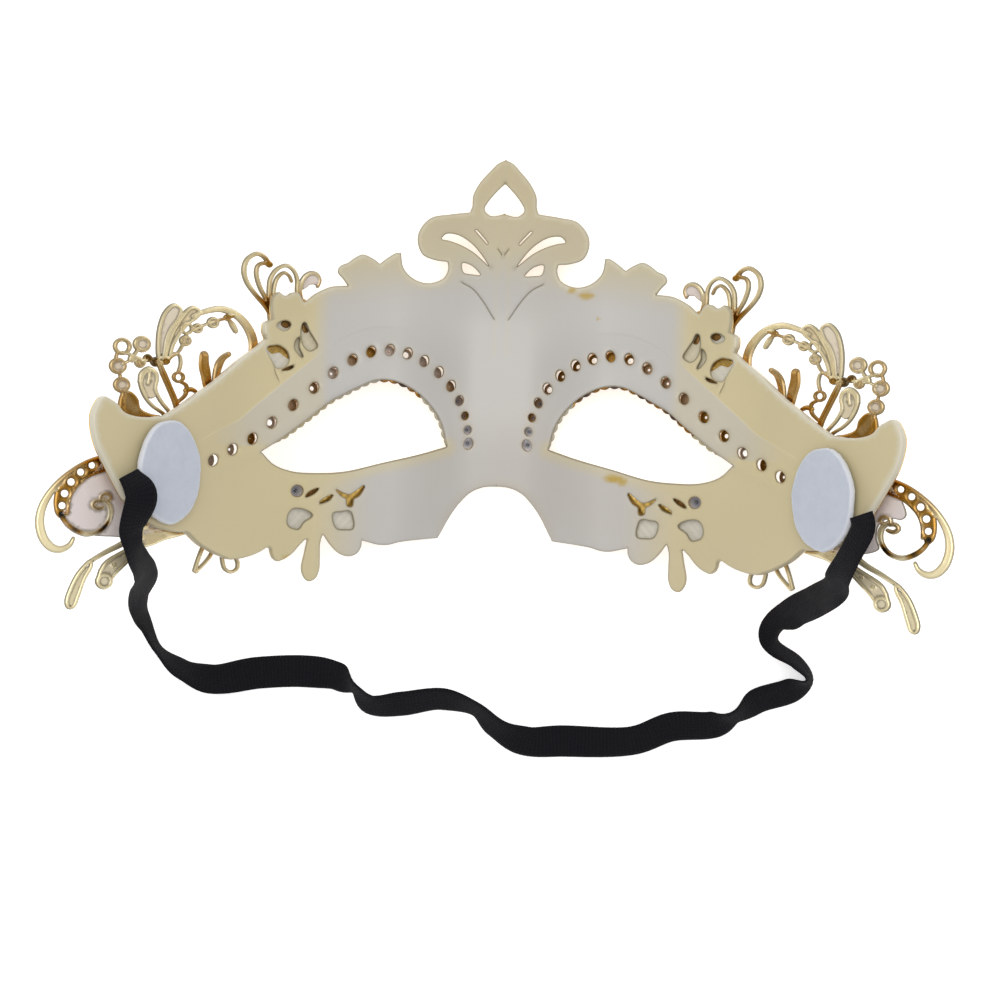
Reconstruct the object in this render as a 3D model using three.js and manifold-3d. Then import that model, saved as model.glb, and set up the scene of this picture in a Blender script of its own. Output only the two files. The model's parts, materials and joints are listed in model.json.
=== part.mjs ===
// A moulded half mask with a fleur-de-lis crest, gilt filigree sprays, rhinestones round both eyes,
// felt pads at the temples and a flat elastic band. It lies on its gilt face, hollow side up.
// Millimetres. X runs across the face, Y up towards the crest, Z up out of the hollow.
// Outlines are drawn in plan as half patterns: u is the distance out from the middle line, y the height.
import * as THREE from "three";
import { mergeVertices } from "three/addons/utils/BufferGeometryUtils.js";
import Module from "manifold-3d";

// Driving dimensions
const shellThickness = 2.2;
const giltThickness = 1.2;
const faceRadius = 91; // bend of the mask round the head
const templeStart = 68; // half width at which the temples turn flat
const templeRise = 7; // how far the temples stand above the plain bend
const crestLean = 0.38; // slope of the brow and crest away from the face
const browLine = 15; // height at which that lean begins
const wingStart = 80; // half width at which the sprays start to flare off the temple
const wingReach = 30; // length over which they flare
const wingSlope = 0.35; // slope that they end with
const jointGap = 0.3; // clearance between pieces that touch
const stoneGap = 0.5; // clearance between a stone and the shell behind it
const sprayGap = 0.8; // clearance between the shell and the sprays
const padAcross = 10.9; // half the felt pad's width round the temple
const padTall = 12.5; // half its height
const padThickness = 1.6;
const padSides = 18;
const padLift = 1.5; // the end of the elastic under a pad raises its outer edge
const strapWidth = 8;
const strapThickness = 1.2;
const strapSteps = 34;
const stoneHole = 1.1; // radius of the hole behind each eye stone
const stoneRadius = 1.5;
const cheekHole = 1.5;
const cheekStoneRadius = 2.2;
const chordSlack = 0.25; // how far a straight side may stray from the shell's curves
const giltSlack = 0.4; // the same for the sprays
const cutDepth = 110; // height of the cutting prisms

const ivory = { color: 0xd8ceb4, roughness: 0.45, metalness: 0 };
const gilt = { color: 0xc9a24a, roughness: 0.25, metalness: 0.9 };
const crystal = { color: 0xe9e6df, roughness: 0.1, metalness: 0.1 };
const felt = { color: 0xc6cbd8, roughness: 0.95, metalness: 0 };
const elastic = { color: 0x15151a, roughness: 0.85, metalness: 0 };

const wasm = await Module();
wasm.setup();

// Form of the face

const templeAngle = Math.asin(templeStart / faceRadius);
const noseProfile = [[-38, -4.4], [-31, -1.4], [-24, 0.8], [-8, 3], [6, 0.6], [15, 0], [24, 0]];
const cheekProfile = [[-50, 2], [-35, 5], [-20, 8], [-8, 9], [4, 7.5], [15, 4], [26, 2], [40, 2]];

function ease(from, to, value) {
  const t = Math.min(1, Math.max(0, (value - from) / (to - from)));
  return t * t * (3 - 2 * t);
}

// A smooth profile through knots of [height, depth], straight beyond its ends
function profileAt(knots, y) {
  const last = knots.length - 1;
  const slopeAt = (i) => {
    const [before, after] = [knots[Math.max(0, i - 1)], knots[Math.min(last, i + 1)]];
    return (after[1] - before[1]) / (after[0] - before[0]);
  };
  if (y <= knots[0][0]) return knots[0][1] + slopeAt(0) * (y - knots[0][0]);
  if (y >= knots[last][0]) return knots[last][1] + slopeAt(last) * (y - knots[last][0]);
  const i = knots.findIndex((knot) => y <= knot[0]) - 1;
  const span = knots[i + 1][0] - knots[i][0];
  const t = (y - knots[i][0]) / span;
  return (2 * t ** 3 - 3 * t ** 2 + 1) * knots[i][1] + (t ** 3 - 2 * t ** 2 + t) * span * slopeAt(i)
    + (3 * t ** 2 - 2 * t ** 3) * knots[i + 1][1] + (t ** 3 - t ** 2) * span * slopeAt(i + 1);
}

function headBend(u) {
  if (u < templeStart) return faceRadius - Math.sqrt(faceRadius ** 2 - u ** 2);
  return faceRadius * (1 - Math.cos(templeAngle)) + (u - templeStart) * Math.tan(templeAngle);
}

// Height of the shell's middle surface: the bend round the head, the nose ridge, the eye sockets and the crest
function shellHeight(x, y) {
  const u = Math.abs(x);
  const beside = ease(6, 26, u);
  const lean = Math.hypot(4, crestLean * Math.max(0, y - browLine)) - 4;
  const face = profileAt(noseProfile, y) * (1 - beside) + profileAt(cheekProfile, y) * beside + lean;
  const temple = ease(45, 66, u);
  return shellThickness / 2 + headBend(u) + face * (1 - temple) + templeRise * temple;
}

function steepness(height, x, y) {
  const step = 0.01;
  const along = (height(x + step, y) - height(x - step, y)) / (2 * step);
  const up = (height(x, y + step) - height(x, y - step)) / (2 * step);
  return new THREE.Vector3(-along, -up, 1);
}

// Middle surface of the sprays: close in front of the shell, then flaring off the temple
function sprayHeight(x, y) {
  const u = Math.abs(x);
  const inner = Math.min(u, wingStart);
  const off = shellThickness / 2 + sprayGap + giltThickness / 2;
  const under = shellHeight(inner, y) - off * steepness(shellHeight, inner, y).length();
  const past = Math.max(0, u - wingStart);
  const flare = Math.min(past, wingReach);
  const first = Math.tan(templeAngle);
  const bent = first * flare - (first - wingSlope) * flare ** 2 / (2 * wingReach);
  return under + bent + wingSlope * (past - flare);
}

// Solids

function toSolid(geometry) {
  const bare = geometry.clone();
  bare.deleteAttribute("normal");
  bare.deleteAttribute("uv");
  const merged = mergeVertices(bare, 1e-4);
  const vertProperties = Float32Array.from(merged.attributes.position.array);
  const triVerts = Uint32Array.from(merged.index.array);
  return new wasm.Manifold(new wasm.Mesh({ numProp: 3, vertProperties, triVerts }));
}

function toGeometry(solid) {
  const mesh = solid.getMesh();
  const geometry = new THREE.BufferGeometry();
  geometry.setAttribute("position", new THREE.BufferAttribute(mesh.vertProperties, 3));
  geometry.setIndex(new THREE.BufferAttribute(mesh.triVerts, 1));
  geometry.computeVertexNormals();
  return geometry;
}

// A curved sheet of even thickness that follows a height over a grid of lines
function curvedSheet(height, xs, ys, thickness) {
  const positions = [];
  for (const side of [1, -1]) {
    for (const y of ys) {
      for (const x of xs) {
        const normal = steepness(height, x, y).normalize().multiplyScalar(side * thickness / 2);
        positions.push(x + normal.x, y + normal.y, height(x, y) + normal.z);
      }
    }
  }
  const layer = xs.length * ys.length;
  const at = (i, j) => j * xs.length + i;
  const triangles = [];
  for (let j = 0; j < ys.length - 1; j++) {
    for (let i = 0; i < xs.length - 1; i++) {
      const [a, b, c, d] = [at(i, j), at(i + 1, j), at(i + 1, j + 1), at(i, j + 1)];
      const [from, to] = xs[i] < 0 ? [[a, b, d], [b, c, d]] : [[a, b, c], [a, c, d]];
      for (const [p, q, r] of [from, to]) {
        triangles.push(p, q, r, layer + p, layer + r, layer + q);
      }
    }
  }
  const rim = [];
  for (let i = 0; i < xs.length - 1; i++) rim.push(at(i, 0));
  for (let j = 0; j < ys.length - 1; j++) rim.push(at(xs.length - 1, j));
  for (let i = xs.length - 1; i > 0; i--) rim.push(at(i, ys.length - 1));
  for (let j = ys.length - 1; j > 0; j--) rim.push(at(0, j));
  rim.forEach((p, k) => {
    const q = rim[(k + 1) % rim.length];
    triangles.push(p, layer + p, q, q, layer + p, layer + q);
  });
  const geometry = new THREE.BufferGeometry();
  geometry.setAttribute("position", new THREE.Float32BufferAttribute(positions, 3));
  geometry.setIndex(triangles);
  return toSolid(geometry);
}

// Keeps only the points that a line needs to stay within the slack
function straighten(points, slack) {
  const [first, last] = [points[0], points[points.length - 1]];
  const chord = new THREE.Line3(first, last);
  const near = new THREE.Vector3();
  let [far, most] = [0, slack];
  for (let i = 1; i < points.length - 1; i++) {
    const away = chord.distanceSq() > 0
      ? chord.closestPointToPoint(points[i], true, near).distanceTo(points[i])
      : points[i].distanceTo(first);
    if (away > most) [far, most] = [i, away];
  }
  if (far === 0) return [first, last];
  const head = straighten(points.slice(0, far + 1), slack);
  return head.slice(0, -1).concat(straighten(points.slice(far), slack));
}

// A smooth line through a few points of [u, y]; a closed one doesn't repeat its first point
function smoothLine(points, { closed = false, slack = chordSlack } = {}) {
  const corners = points.map(([u, y]) => new THREE.Vector3(u, y, 0));
  const spline = new THREE.CatmullRomCurve3(corners, closed, "centripetal");
  const kept = straighten(spline.getPoints(points.length * 8), slack);
  return closed ? kept.slice(0, -1) : kept;
}

// Several smooth runs joined at corners into one closed line; each run starts where the last one ends
function joinRuns(runs) {
  return runs.flatMap((run) => smoothLine(run).slice(0, -1));
}

// Every ring runs counter-clockwise, so that outlines and holes turn the right way when mirrored
function shapeOf(points, side = 1) {
  const ring = points.map((p) => new THREE.Vector2(side * p.x, p.y));
  return new THREE.Shape(THREE.ShapeUtils.isClockWise(ring) ? ring.reverse() : ring);
}

function shapeWithHoles(outer, holes, side = 1) {
  const shape = shapeOf(outer, side);
  shape.holes = holes.map((hole) => shapeOf(hole, side));
  return shape;
}

function circlePoints([u, y], radius, sides) {
  return Array.from({ length: sides }, (_, i) => {
    const turn = (i + 0.5) * 2 * Math.PI / sides;
    return new THREE.Vector3(u + radius * Math.cos(turn), y + radius * Math.sin(turn), 0);
  });
}

// Offsets a line sideways; shiftAt gives the shift at each share of its length
function shifted(line, shiftAt) {
  return line.map((p, i) => {
    const before = line[Math.max(0, i - 1)];
    const after = line[Math.min(line.length - 1, i + 1)];
    const heading = after.clone().sub(before).normalize();
    const shift = shiftAt(i / (line.length - 1));
    return new THREE.Vector3(p.x - heading.y * shift, p.y + heading.x * shift, 0);
  });
}

// A strip of metal along a line, its width easing from one end to the other
function strip(points, startWidth, endWidth = startWidth) {
  const line = smoothLine(points, { slack: giltSlack });
  const half = (share) => (startWidth + (endWidth - startWidth) * share) / 2;
  const left = shifted(line, half);
  const right = shifted(line, (share) => -half(share));
  return { outer: left.concat(right.reverse()), holes: [] };
}

// A strip of metal bent into a closed loop: two arms that overlap where they meet
function loop(points, width) {
  const middle = Math.floor(points.length / 2);
  return [strip(points.slice(0, middle + 1), width), strip([...points.slice(middle), points[0]], width)];
}

function eyelet(centre, radius, width) {
  return { outer: circlePoints(centre, radius, 6), holes: [circlePoints(centre, radius - width, 4)] };
}

function boss(centre, radius) {
  return { outer: circlePoints(centre, radius, 5), holes: [] };
}

function plate(points) {
  return { outer: smoothLine(points, { closed: true, slack: giltSlack }), holes: [] };
}

function prism(shape) {
  const block = new THREE.ExtrudeGeometry(shape, { depth: cutDepth, bevelEnabled: false });
  block.translate(0, 0, -10);
  return toSolid(block);
}

// Cuts a pattern of overlapping figures out of a curved sheet
function cutFrom(sheet, figures, side) {
  const prisms = figures.map(({ outer, holes }) => prism(shapeWithHoles(outer, holes, side)));
  const pattern = prisms.reduce((all, next) => all.add(next));
  return toGeometry(sheet.intersect(pattern));
}

// Shell outline, as a half pattern from the crest's tip round to the middle of the nose arch

const crestDrop = [[0, 56.8], [1.8, 56], [3.9, 54], [6.3, 51.1], [7.9, 48], [8.1, 45.2], [8.7, 43.7]];
const crestArm = [[8.7, 43.7], [13.6, 43.1], [18.3, 42], [21.1, 38.7], [21.3, 35.5], [19.8, 32.8],
  [16.9, 31.6], [13.8, 31.3]];
const browNotch = [[13.8, 31.3], [13.7, 29.6], [14.9, 27.3], [18.6, 26], [22.3, 27], [24.6, 29.4], [25.2, 33.1]];
const browLip = [[25.2, 33.1], [26.5, 33.2], [28.4, 32], [30.6, 30.4]];
const browScallop = [[30.6, 30.4], [32.3, 31.6], [34.8, 32.4], [37, 31.3], [39.6, 29.5], [41, 27.7],
  [40.1, 26.2], [38.5, 24.6]];
const browSide = [[38.5, 24.6], [41.2, 24.3], [44.2, 23.2], [46.7, 21.8], [48.7, 19.9]];
const palmetteTop = [[48.7, 19.9], [50, 22], [52.2, 22], [53.3, 21.2]];
const palmetteTip = [[53.3, 21.2], [55, 22], [57, 20.6], [57.3, 17.9], [56.9, 15.4]];
const palmetteFoot = [[56.9, 15.4], [58.8, 14], [59, 12], [58.4, 10.4]];
const templeTop = [[58.4, 10.4], [60, 8.6], [64.6, 4.7], [70.2, -0.7], [75.3, -5], [78, -7.2], [81.3, -9.6]];
const earTab = [[81.3, -9.6], [85.5, -10.3], [88.7, -9.4], [90.7, -7.4], [92.4, -6.2], [94.2, -5.9], [95.8, -6.6],
  [97.2, -9.6], [97.4, -12.6], [96.9, -15.6], [95.2, -20], [92.4, -25.6], [90.1, -29.4], [87.3, -33],
  [83.6, -35.9], [79.4, -37.3], [75.5, -37.7]];
const lowerSide = [[75.5, -37.7], [72.8, -40.3], [69.9, -42.1], [67.5, -43.2], [64.6, -43.9], [61.5, -43.6],
  [58.6, -42.6], [55.7, -40.9]];
const outerLobe = [[55.7, -40.9], [55.3, -42.6], [53.6, -44.2], [51.7, -43.7], [49.4, -41.9], [46.5, -38.4]];
const cheekDrop = [[46.5, -38.4], [47.1, -41.7], [47.8, -45.6], [47, -48.2], [45.4, -49], [43.8, -48.1],
  [43.1, -46], [43.1, -42], [42.5, -37.4]];
const innerLobe = [[42.5, -37.4], [41, -39.6], [38.7, -41.8], [35.9, -42.5], [33.8, -41.4], [32.9, -38.8]];
const cheekLower = [[32.9, -38.8], [29.5, -39.6], [26, -39.3], [22.5, -38.3], [18.5, -37.7], [14.2, -37.5]];
const noseArch = [[14.2, -37.5], [12.9, -35], [11.2, -31.8], [9, -28.6], [6.2, -25.8], [3.2, -24.5], [0, -24.2]];

const halfOutline = joinRuns([crestDrop, crestArm, browNotch, browLip, browScallop, browSide, palmetteTop,
  palmetteTip, palmetteFoot, templeTop, earTab, lowerSide, outerLobe, cheekDrop, innerLobe, cheekLower, noseArch]);
const archMiddle = new THREE.Vector3(0, noseArch[noseArch.length - 1][1], 0);
const otherHalf = halfOutline.slice(1).reverse().map((p) => new THREE.Vector3(-p.x, p.y, 0));
const shellOutline = [...halfOutline, archMiddle, ...otherHalf];

// Openings of the shell, each given for one side

const eyeUpper = [[57.6, -17.4], [54.8, -15.6], [50.7, -12.3], [45.6, -8.1], [41.4, -4.5], [36, -1.3],
  [31, 1], [26.7, 1.2], [22.7, -0.2], [19.1, -2.7], [16, -6.1], [14, -9.8], [12.9, -14.5]];
const eyeLower = [[12.9, -14.5], [20.1, -16.8], [28.8, -19.2], [37.5, -21.4], [44, -22.1], [50.4, -21.8],
  [54.7, -20.2], [57.6, -17.4]];
const crestCrescent = [[15.6, 37], [14.2, 38.4], [11.3, 38.3], [8.4, 36.8], [5.9, 34.3], [3.3, 30.6], [7.5, 33.9],
  [10.9, 35.5]];
const crestSlot = [[7.4, 39.8], [6.5, 39.9], [3.5, 36], [4.2, 35.8]];
const crestCorner = [[10.3, 31.4], [7.6, 31], [5.4, 28.6], [9.9, 28.8]];
const palmetteLozenge = [[55.3, 13.2], [53.2, 14.8], [51.8, 13.4], [53.2, 12]];
const palmetteDrop = [[48.5, 14.8], [47.3, 12.4], [45.6, 9.2], [46.8, 7.9], [48.3, 9]];
const palmetteHook = [[49.9, 10.6], [50, 8.4], [48.8, 6.2], [48.3, 7.6]];
const palmetteOval = [[57, 8], [55, 8.7], [52.6, 7.4], [52.2, 5], [54, 3.2], [55.8, 5.4]];
const palmetteDash = [[53.4, 3.2], [51, 4.1], [50.8, 3.3], [53.2, 2.2]];
const cheekShield = [[39.9, -32], [36.2, -31.4], [35.5, -32.8], [35.4, -35.6], [39.1, -35.6], [40.1, -33.6]];
const cheekFork = [[39.3, -26], [36.6, -27.2], [32.7, -24.8], [34.6, -27.4], [35.4, -29.8], [36.7, -29.8],
  [37.6, -27.9]];
const cheekKite = [[49.8, -31.2], [47, -31.3], [45.3, -32.6], [47.4, -34.5], [48.9, -36], [50.9, -35], [50.9, -32.8]];
const cheekDash = [[43.5, -29.6], [43.1, -28.9], [40.3, -27.4], [40.8, -28.3]];
const cheekNick = [[46.9, -27.8], [46.4, -28.4], [43.9, -26], [44.3, -25.6]];
const cheekStoneSeat = [49, -26.7];
const sideOpenings = [crestCrescent, crestCorner, palmetteDrop, palmetteOval, cheekShield, cheekKite];
const thinOpenings = [crestSlot, palmetteLozenge, palmetteHook, palmetteDash, cheekFork, cheekDash, cheekNick];
const crestEye = [[0, 50.8], [2.2, 48.6], [4.2, 46.1], [4.6, 44.4], [3.2, 43.1], [1.4, 43.4], [0, 43.8]];

// Row of eye stones: from beside the nose over the brow and down to the temple
const eyeStoneSeats = [[7.3, -13.7], [7.6, -10.3], [8.4, -6.8], [9.9, -3.1], [12.1, 0.5], [15.2, 3.8], [18.9, 6.4],
  [23, 8.1], [27.4, 8.8], [32, 8.2], [36.5, 6], [41.1, 2.6], [45.6, -1.3], [50.5, -5.7], [55.5, -10.2],
  [60, -14.3], [64.6, -17.1], [69, -19.9]];

function shellHoles(side) {
  const eye = joinRuns([eyeUpper, eyeLower]);
  const smooth = sideOpenings.map((points) => smoothLine(points, { closed: true, slack: 0.2 }));
  const straight = thinOpenings.map((points) => points.map(([u, y]) => new THREE.Vector3(u, y, 0)));
  const stones = eyeStoneSeats.map((seat) => circlePoints(seat, stoneHole, 5));
  const cheek = circlePoints(cheekStoneSeat, cheekHole, 6);
  return [eye, ...smooth, ...straight, ...stones, cheek].map((ring) => shapeOf(ring, side));
}

function maskShell() {
  const half = [0, 6, 12, 18, 25, 35, 46, 57, 68, 101];
  const xs = [...half.slice(1).reverse().map((x) => -x), ...half];
  const ys = [-53, -40, -31, -23, -11, 3, 15, 27, 42, 60];
  const blank = curvedSheet(shellHeight, xs, ys, shellThickness);
  const outline = shapeOf(shellOutline);
  const dropHalf = smoothLine(crestEye);
  const dropOther = dropHalf.slice(1, -1).reverse().map((p) => new THREE.Vector3(-p.x, p.y, 0));
  outline.holes = [shapeOf([...dropHalf, ...dropOther]), ...shellHoles(1), ...shellHoles(-1)];
  return toGeometry(blank.intersect(prism(outline)));
}

// Gilt sprays, each drawn for one side

// Plate of the wing, hidden in front of the temple, that all its sprays grow from
const wingPlate = [[62, 3.6], [71, -4], [80.5, -11.8], [90.5, -12], [94, -19.5], [87, -32], [75.5, -36.2],
  [65.5, -41], [71, -33], [75, -22], [71, -12.5], [60.6, 1]];

function upperSpray() {
  const bigArc = strip([[60.6, 2.5], [60.7, 9.2], [62.2, 12.9], [64.8, 15.8], [68.1, 17], [70.8, 16.7],
    [74.4, 15.4]], 2.2, 0.8);
  const garland = strip([[65.3, 14.6], [66.9, 14.6], [70.1, 13.8], [73.7, 12], [76, 9.8], [77.4, 6], [79.8, 4.2]], 0.7);
  const leaf = strip([[66.8, 14.6], [65.8, 13.2], [64.8, 11.4]], 1.2);
  const leaves = [[70.1, 13.5], [73.6, 11.8], [76.2, 9]].map((at) => boss(at, 1.4));
  const tallLoop = loop([[81.9, 4], [82.6, 8.2], [82.2, 12.4], [81, 15.7], [79.1, 17.3], [77.6, 15.9], [79, 12.6],
    [80.6, 8.8]], 0.8);
  const wideLoop = loop([[80.4, 4.2], [79.3, 9.7], [77.4, 13.8], [75.9, 16.4], [74.4, 17], [73.3, 15.9], [75.4, 13.2],
    [77.6, 10.4], [79, 7.4]], 0.8);
  const hub = plate([[80, 4.9], [82.6, 5.2], [84.6, 4.4], [83.6, 2.4], [81.4, 2.6]]);
  const petals = [[90.4, 6.4], [86.1, 7.3], [91.9, 1.6], [90.3, -2.7], [86.4, 2.6]].map((at) => eyelet(at, 2.2, 0.9));
  const stalks = strip([[85.6, 2.4], [88, 2.8], [90.6, -1.6]], 1.1);
  const stalkBack = strip([[86.6, 6], [88, 2.8], [91, 5.2]], 1.1);
  const curl = strip([[86.4, -2.4], [85.8, 0.3], [84.3, 1.4], [82.9, 0.3], [82.9, -3.4], [81.4, -7], [79.2, -10.5]], 0.9);
  const curlBack = strip([[84.3, 1.2], [84.6, -3], [82.9, -6.5], [80, -10.4]], 0.9);
  const stay = strip([[83, 3.6], [81, 0.5], [79.6, -2.7], [77.8, -9]], 1.5);
  const brace = strip([[77.6, -6], [75.8, -2], [78.4, 3.6]], 0.9);
  const petalTall = plate([[71.2, 6.6], [72.6, 6.7], [73.2, 3.6], [72, -0.6], [71.6, -4.6], [70.2, -4.4], [70.8, 0.2]]);
  const petalShort = plate([[65.8, 6.8], [67, 7], [69.2, 3.6], [70.4, -3.4], [69, -3.6], [67.2, 3.4]]);
  const lump = plate([[90.6, -3.6], [88.6, -3.6], [86.4, -6.4], [84, -9], [81.4, -9.4], [80.6, -12], [88.4, -13.2],
    [90.6, -8.6]]);
  return [bigArc, garland, leaf, ...leaves, ...tallLoop, ...wideLoop, hub, ...petals, stalks, stalkBack, curl,
    curlBack, stay, brace, petalTall, petalShort, lump];
}

function sideCurl(side) {
  const hook = strip([[92.6, -19.2], [95.9, -20.4], [99.5, -22.2], [103.2, -25.3], [106, -29.1], [107.5, -32.8],
    [107.6, -36.4], [106.4, -40], [104, -42], [101.6, -41.4], [100.2, -39.4]], 0.9, 2.1);
  const crescent = strip([[93.4, -21.6], [98.9, -23.2], [101.7, -25.6], [103.3, -28.2], [103.6, -30.9], [102.6, -34],
    [101.4, -36.2], [98.6, -37.9], [95, -37.6], [90, -36], [84, -32.6]], 0.9, 1.3);
  const beads = [[95.4, -22.9], [98.2, -24.4], [100.4, -26.7], [101.7, -29.3], [101.8, -32]];
  const trefoil = strip([[96.2, -31.2], [94.6, -32], [93.2, -30.2]], 1.3);
  const trefoilStem = strip([[94.6, -31.4], [92.4, -32.6], [87.4, -30]], 1.3);
  // the left curl keeps a thin web where the right one is open
  const web = plate([[89, -20], [95.6, -23], [99.6, -26], [101.6, -30.4], [100.6, -34.4], [97.4, -37], [89.6, -36.4],
    [86, -28]]);
  const webs = side < 0 ? [web] : [];
  return [hook, crescent, ...beads.map((at) => boss(at, 1.35)), trefoil, trefoilStem, ...webs];
}

function lowerLeaves() {
  const stem = strip([[82, -33.5], [88.7, -40.3], [92.8, -42.7], [96.4, -45]], 1.5, 1);
  const openLeaf = loop([[96.3, -44.7], [98.9, -47.6], [100.6, -51.4], [101.3, -54.8], [100.3, -56.2], [98.9, -53.6],
    [97.6, -49.5]], 0.8);
  const beadLeaf = loop([[85.6, -40], [88.6, -42.4], [92.5, -45.3], [93.2, -47.6], [90.8, -47.4], [87, -43.6]], 0.8);
  const beads = [[88.4, -43.2], [90.6, -45.3]].map((at) => boss(at, 1));
  const bulb = boss([93.2, -49.4], 2.2);
  const heel = plate([[73, -35], [78.4, -36.6], [84.6, -37.2], [86.8, -39], [84.6, -41.6], [80.4, -40.4], [75.6, -38.2]]);
  const slimLeaf = [
    strip([[67.6, -38.4], [69.6, -44.6], [72.2, -47]], 0.8),
    strip([[69.2, -37.6], [71.8, -44], [72.6, -47]], 0.8),
  ];
  const roundLoop = [
    strip([[66.2, -39.6], [66.1, -45.2], [64.3, -47]], 0.8),
    strip([[64.8, -47], [62.8, -45.4], [63.8, -42.6], [66.6, -39.4]], 0.8),
  ];
  return [stem, ...openLeaf, ...beadLeaf, ...beads, bulb, heel, ...slimLeaf, ...roundLoop];
}

function browSprig() {
  const foot = plate([[48.2, 19.6], [57.2, 19.4], [56, 12], [53, 9], [48.6, 14]]);
  const tallHook = strip([[57, 17.2], [60.8, 21.4], [63, 24.2], [63.4, 27.2], [62.6, 30], [60.4, 31.2], [58.4, 30.4],
    [57.2, 28.2]], 0.8);
  const tallHookBack = strip([[57, 28.4], [59.2, 28.5], [60.5, 27], [59.9, 23.4], [57, 18.6]], 0.7);
  const arch = strip([[57.2, 18.6], [57.3, 25.3], [55.8, 27.8], [53.3, 28.8], [51.4, 27.6], [50.4, 25.4], [49.6, 19]], 1);
  const innerArch = strip([[56, 19], [55.6, 25.2], [53.9, 27], [52.5, 26.4], [50.8, 24.6]], 0.7);
  const shortHook = strip([[48.6, 18.6], [49.8, 23.4], [49.3, 25.8], [47.7, 27.1], [46, 26.6], [45.4, 25.1],
    [46, 23.8]], 0.8);
  const shortHookTip = strip([[45.9, 24], [47.8, 24.9], [49.6, 23.4]], 0.7);
  return [foot, tallHook, tallHookBack, arch, innerArch, shortHook, shortHookTip];
}

function giltSheet(side, us, ys) {
  const xs = side > 0 ? us : us.map((u) => -u).reverse();
  return curvedSheet(sprayHeight, xs, ys, giltThickness);
}

// Pieces set on the shell

// Puts a piece whose own axis is Y on the shell's surface, facing the wearer, 1, or the front, -1
function seatOnShell(mesh, x, y, offset, facing, tilt = 0) {
  const normal = steepness(shellHeight, x, y).normalize().multiplyScalar(facing);
  normal.applyAxisAngle(new THREE.Vector3(0, 1, 0), tilt);
  const across = new THREE.Vector3(0, 1, 0).cross(normal).normalize();
  const tall = across.clone().cross(normal);
  mesh.quaternion.setFromRotationMatrix(new THREE.Matrix4().makeBasis(across, normal, tall));
  mesh.position.set(x, y, shellHeight(x, y)).addScaledVector(normal, offset);
}

function stoneGeometry(radius) {
  const profile = [[0, 0], [1, 0.26], [0.55, 0.66], [0, 0.66]];
  return new THREE.LatheGeometry(profile.map(([r, h]) => new THREE.Vector2(r * radius, h * radius)), 5);
}

// Route of the elastic: out from under one pad, down to the surface it lies on, across and up to the other pad.
// Each point is [x, y, z, lean]; lean turns the band from flat, 0, to on edge, 90 degrees.
const strapRoute = [
  [-87.5, -23.9, 67.8, -54], [-84.3, -28.8, 67.9, -20], [-86, -35.4, 65.9, -42], [-86.5, -38.6, 63.9, -54],
  [-85.8, -42, 62.6, -60], [-84.8, -45.6, 54.6, -60], [-84.7, -48.8, 40, -57], [-87.2, -56, 13.5, -63],
  [-86.3, -60.6, 5.8, -72], [-83.2, -67, 4.6, -80], [-77, -72, 3.9, -55], [-69.6, -74.3, 2.7, -26],
  [-58, -72.4, 1.2, 0], [-46, -71.7, 1.2, 0], [-38, -72.7, 2.7, 28], [-33.9, -75.5, 4.6, 75],
  [-29.6, -79.4, 3.9, 50], [-22, -79, 3.4, 40], [-12, -77.5, 3.7, 46], [-3.4, -79.8, 4.5, 64],
  [1.6, -84.2, 3.9, 50], [9, -87.4, 2.3, 22], [18, -87.2, 1.4, 8], [36, -86.5, 2.4, 24],
  [45.5, -82.8, 2.4, 22], [55.5, -82, 2.9, 30], [61.2, -79.8, 4.5, 66], [66.6, -75.7, 3.2, 36],
  [74.5, -73, 3.2, 36], [79.4, -69.8, 4.6, 78], [76, -65.6, 4.6, 66], [70.6, -62.2, 5.2, 62],
  [69.6, -58.4, 8, 38], [73.8, -53.4, 19, 8], [78.8, -49.8, 34, -10], [82.2, -46.6, 49, -32],
  [83.2, -42.4, 59, -48], [84.9, -38, 64.1, -50], [87.6, -31.2, 67.4, -48], [87, -28.4, 67.3, -50],
];

// A curve that also says which way the band's width lies
class BandCurve extends THREE.CatmullRomCurve3 {
  constructor(route) {
    super(route.map(([x, y, z]) => new THREE.Vector3(x, y, z)), false, "centripetal");
    this.leans = route.map((point) => THREE.MathUtils.degToRad(point[3]));
  }

  leanAt(share) {
    const place = this.getUtoTmapping(share) * (this.leans.length - 1);
    const before = Math.min(Math.floor(place), this.leans.length - 2);
    return THREE.MathUtils.lerp(this.leans[before], this.leans[before + 1], ease(0, 1, place - before));
  }

  computeFrenetFrames(steps) {
    const frames = { tangents: [], normals: [], binormals: [] };
    for (let i = 0; i <= steps; i++) {
      const tangent = this.getTangentAt(i / steps);
      const level = new THREE.Vector3(-tangent.y, tangent.x, 0).normalize();
      const upright = tangent.clone().cross(level);
      const lean = this.leanAt(i / steps);
      const across = level.multiplyScalar(Math.cos(lean)).addScaledVector(upright, Math.sin(lean));
      frames.tangents.push(tangent);
      frames.normals.push(across);
      frames.binormals.push(tangent.clone().cross(across));
    }
    return frames;
  }
}

function strapGeometry() {
  const [w, t] = [strapWidth / 2, strapThickness / 2];
  const bevel = 0.3;
  const section = new THREE.Shape([[w, -t + bevel], [w, t - bevel], [w - bevel, t], [bevel - w, t], [-w, t - bevel],
    [-w, bevel - t], [bevel - w, -t], [w - bevel, -t]].map(([x, y]) => new THREE.Vector2(x, y)));
  return new THREE.ExtrudeGeometry(section, { steps: strapSteps, extrudePath: new BandCurve(strapRoute) });
}

// Assembly

const mask = new THREE.Group();

function addPiece(name, geometry, finish) {
  const piece = new THREE.Mesh(geometry, new THREE.MeshStandardMaterial(finish));
  piece.name = name;
  mask.add(piece);
  return piece;
}

addPiece("mask_shell", maskShell(), ivory);

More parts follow.
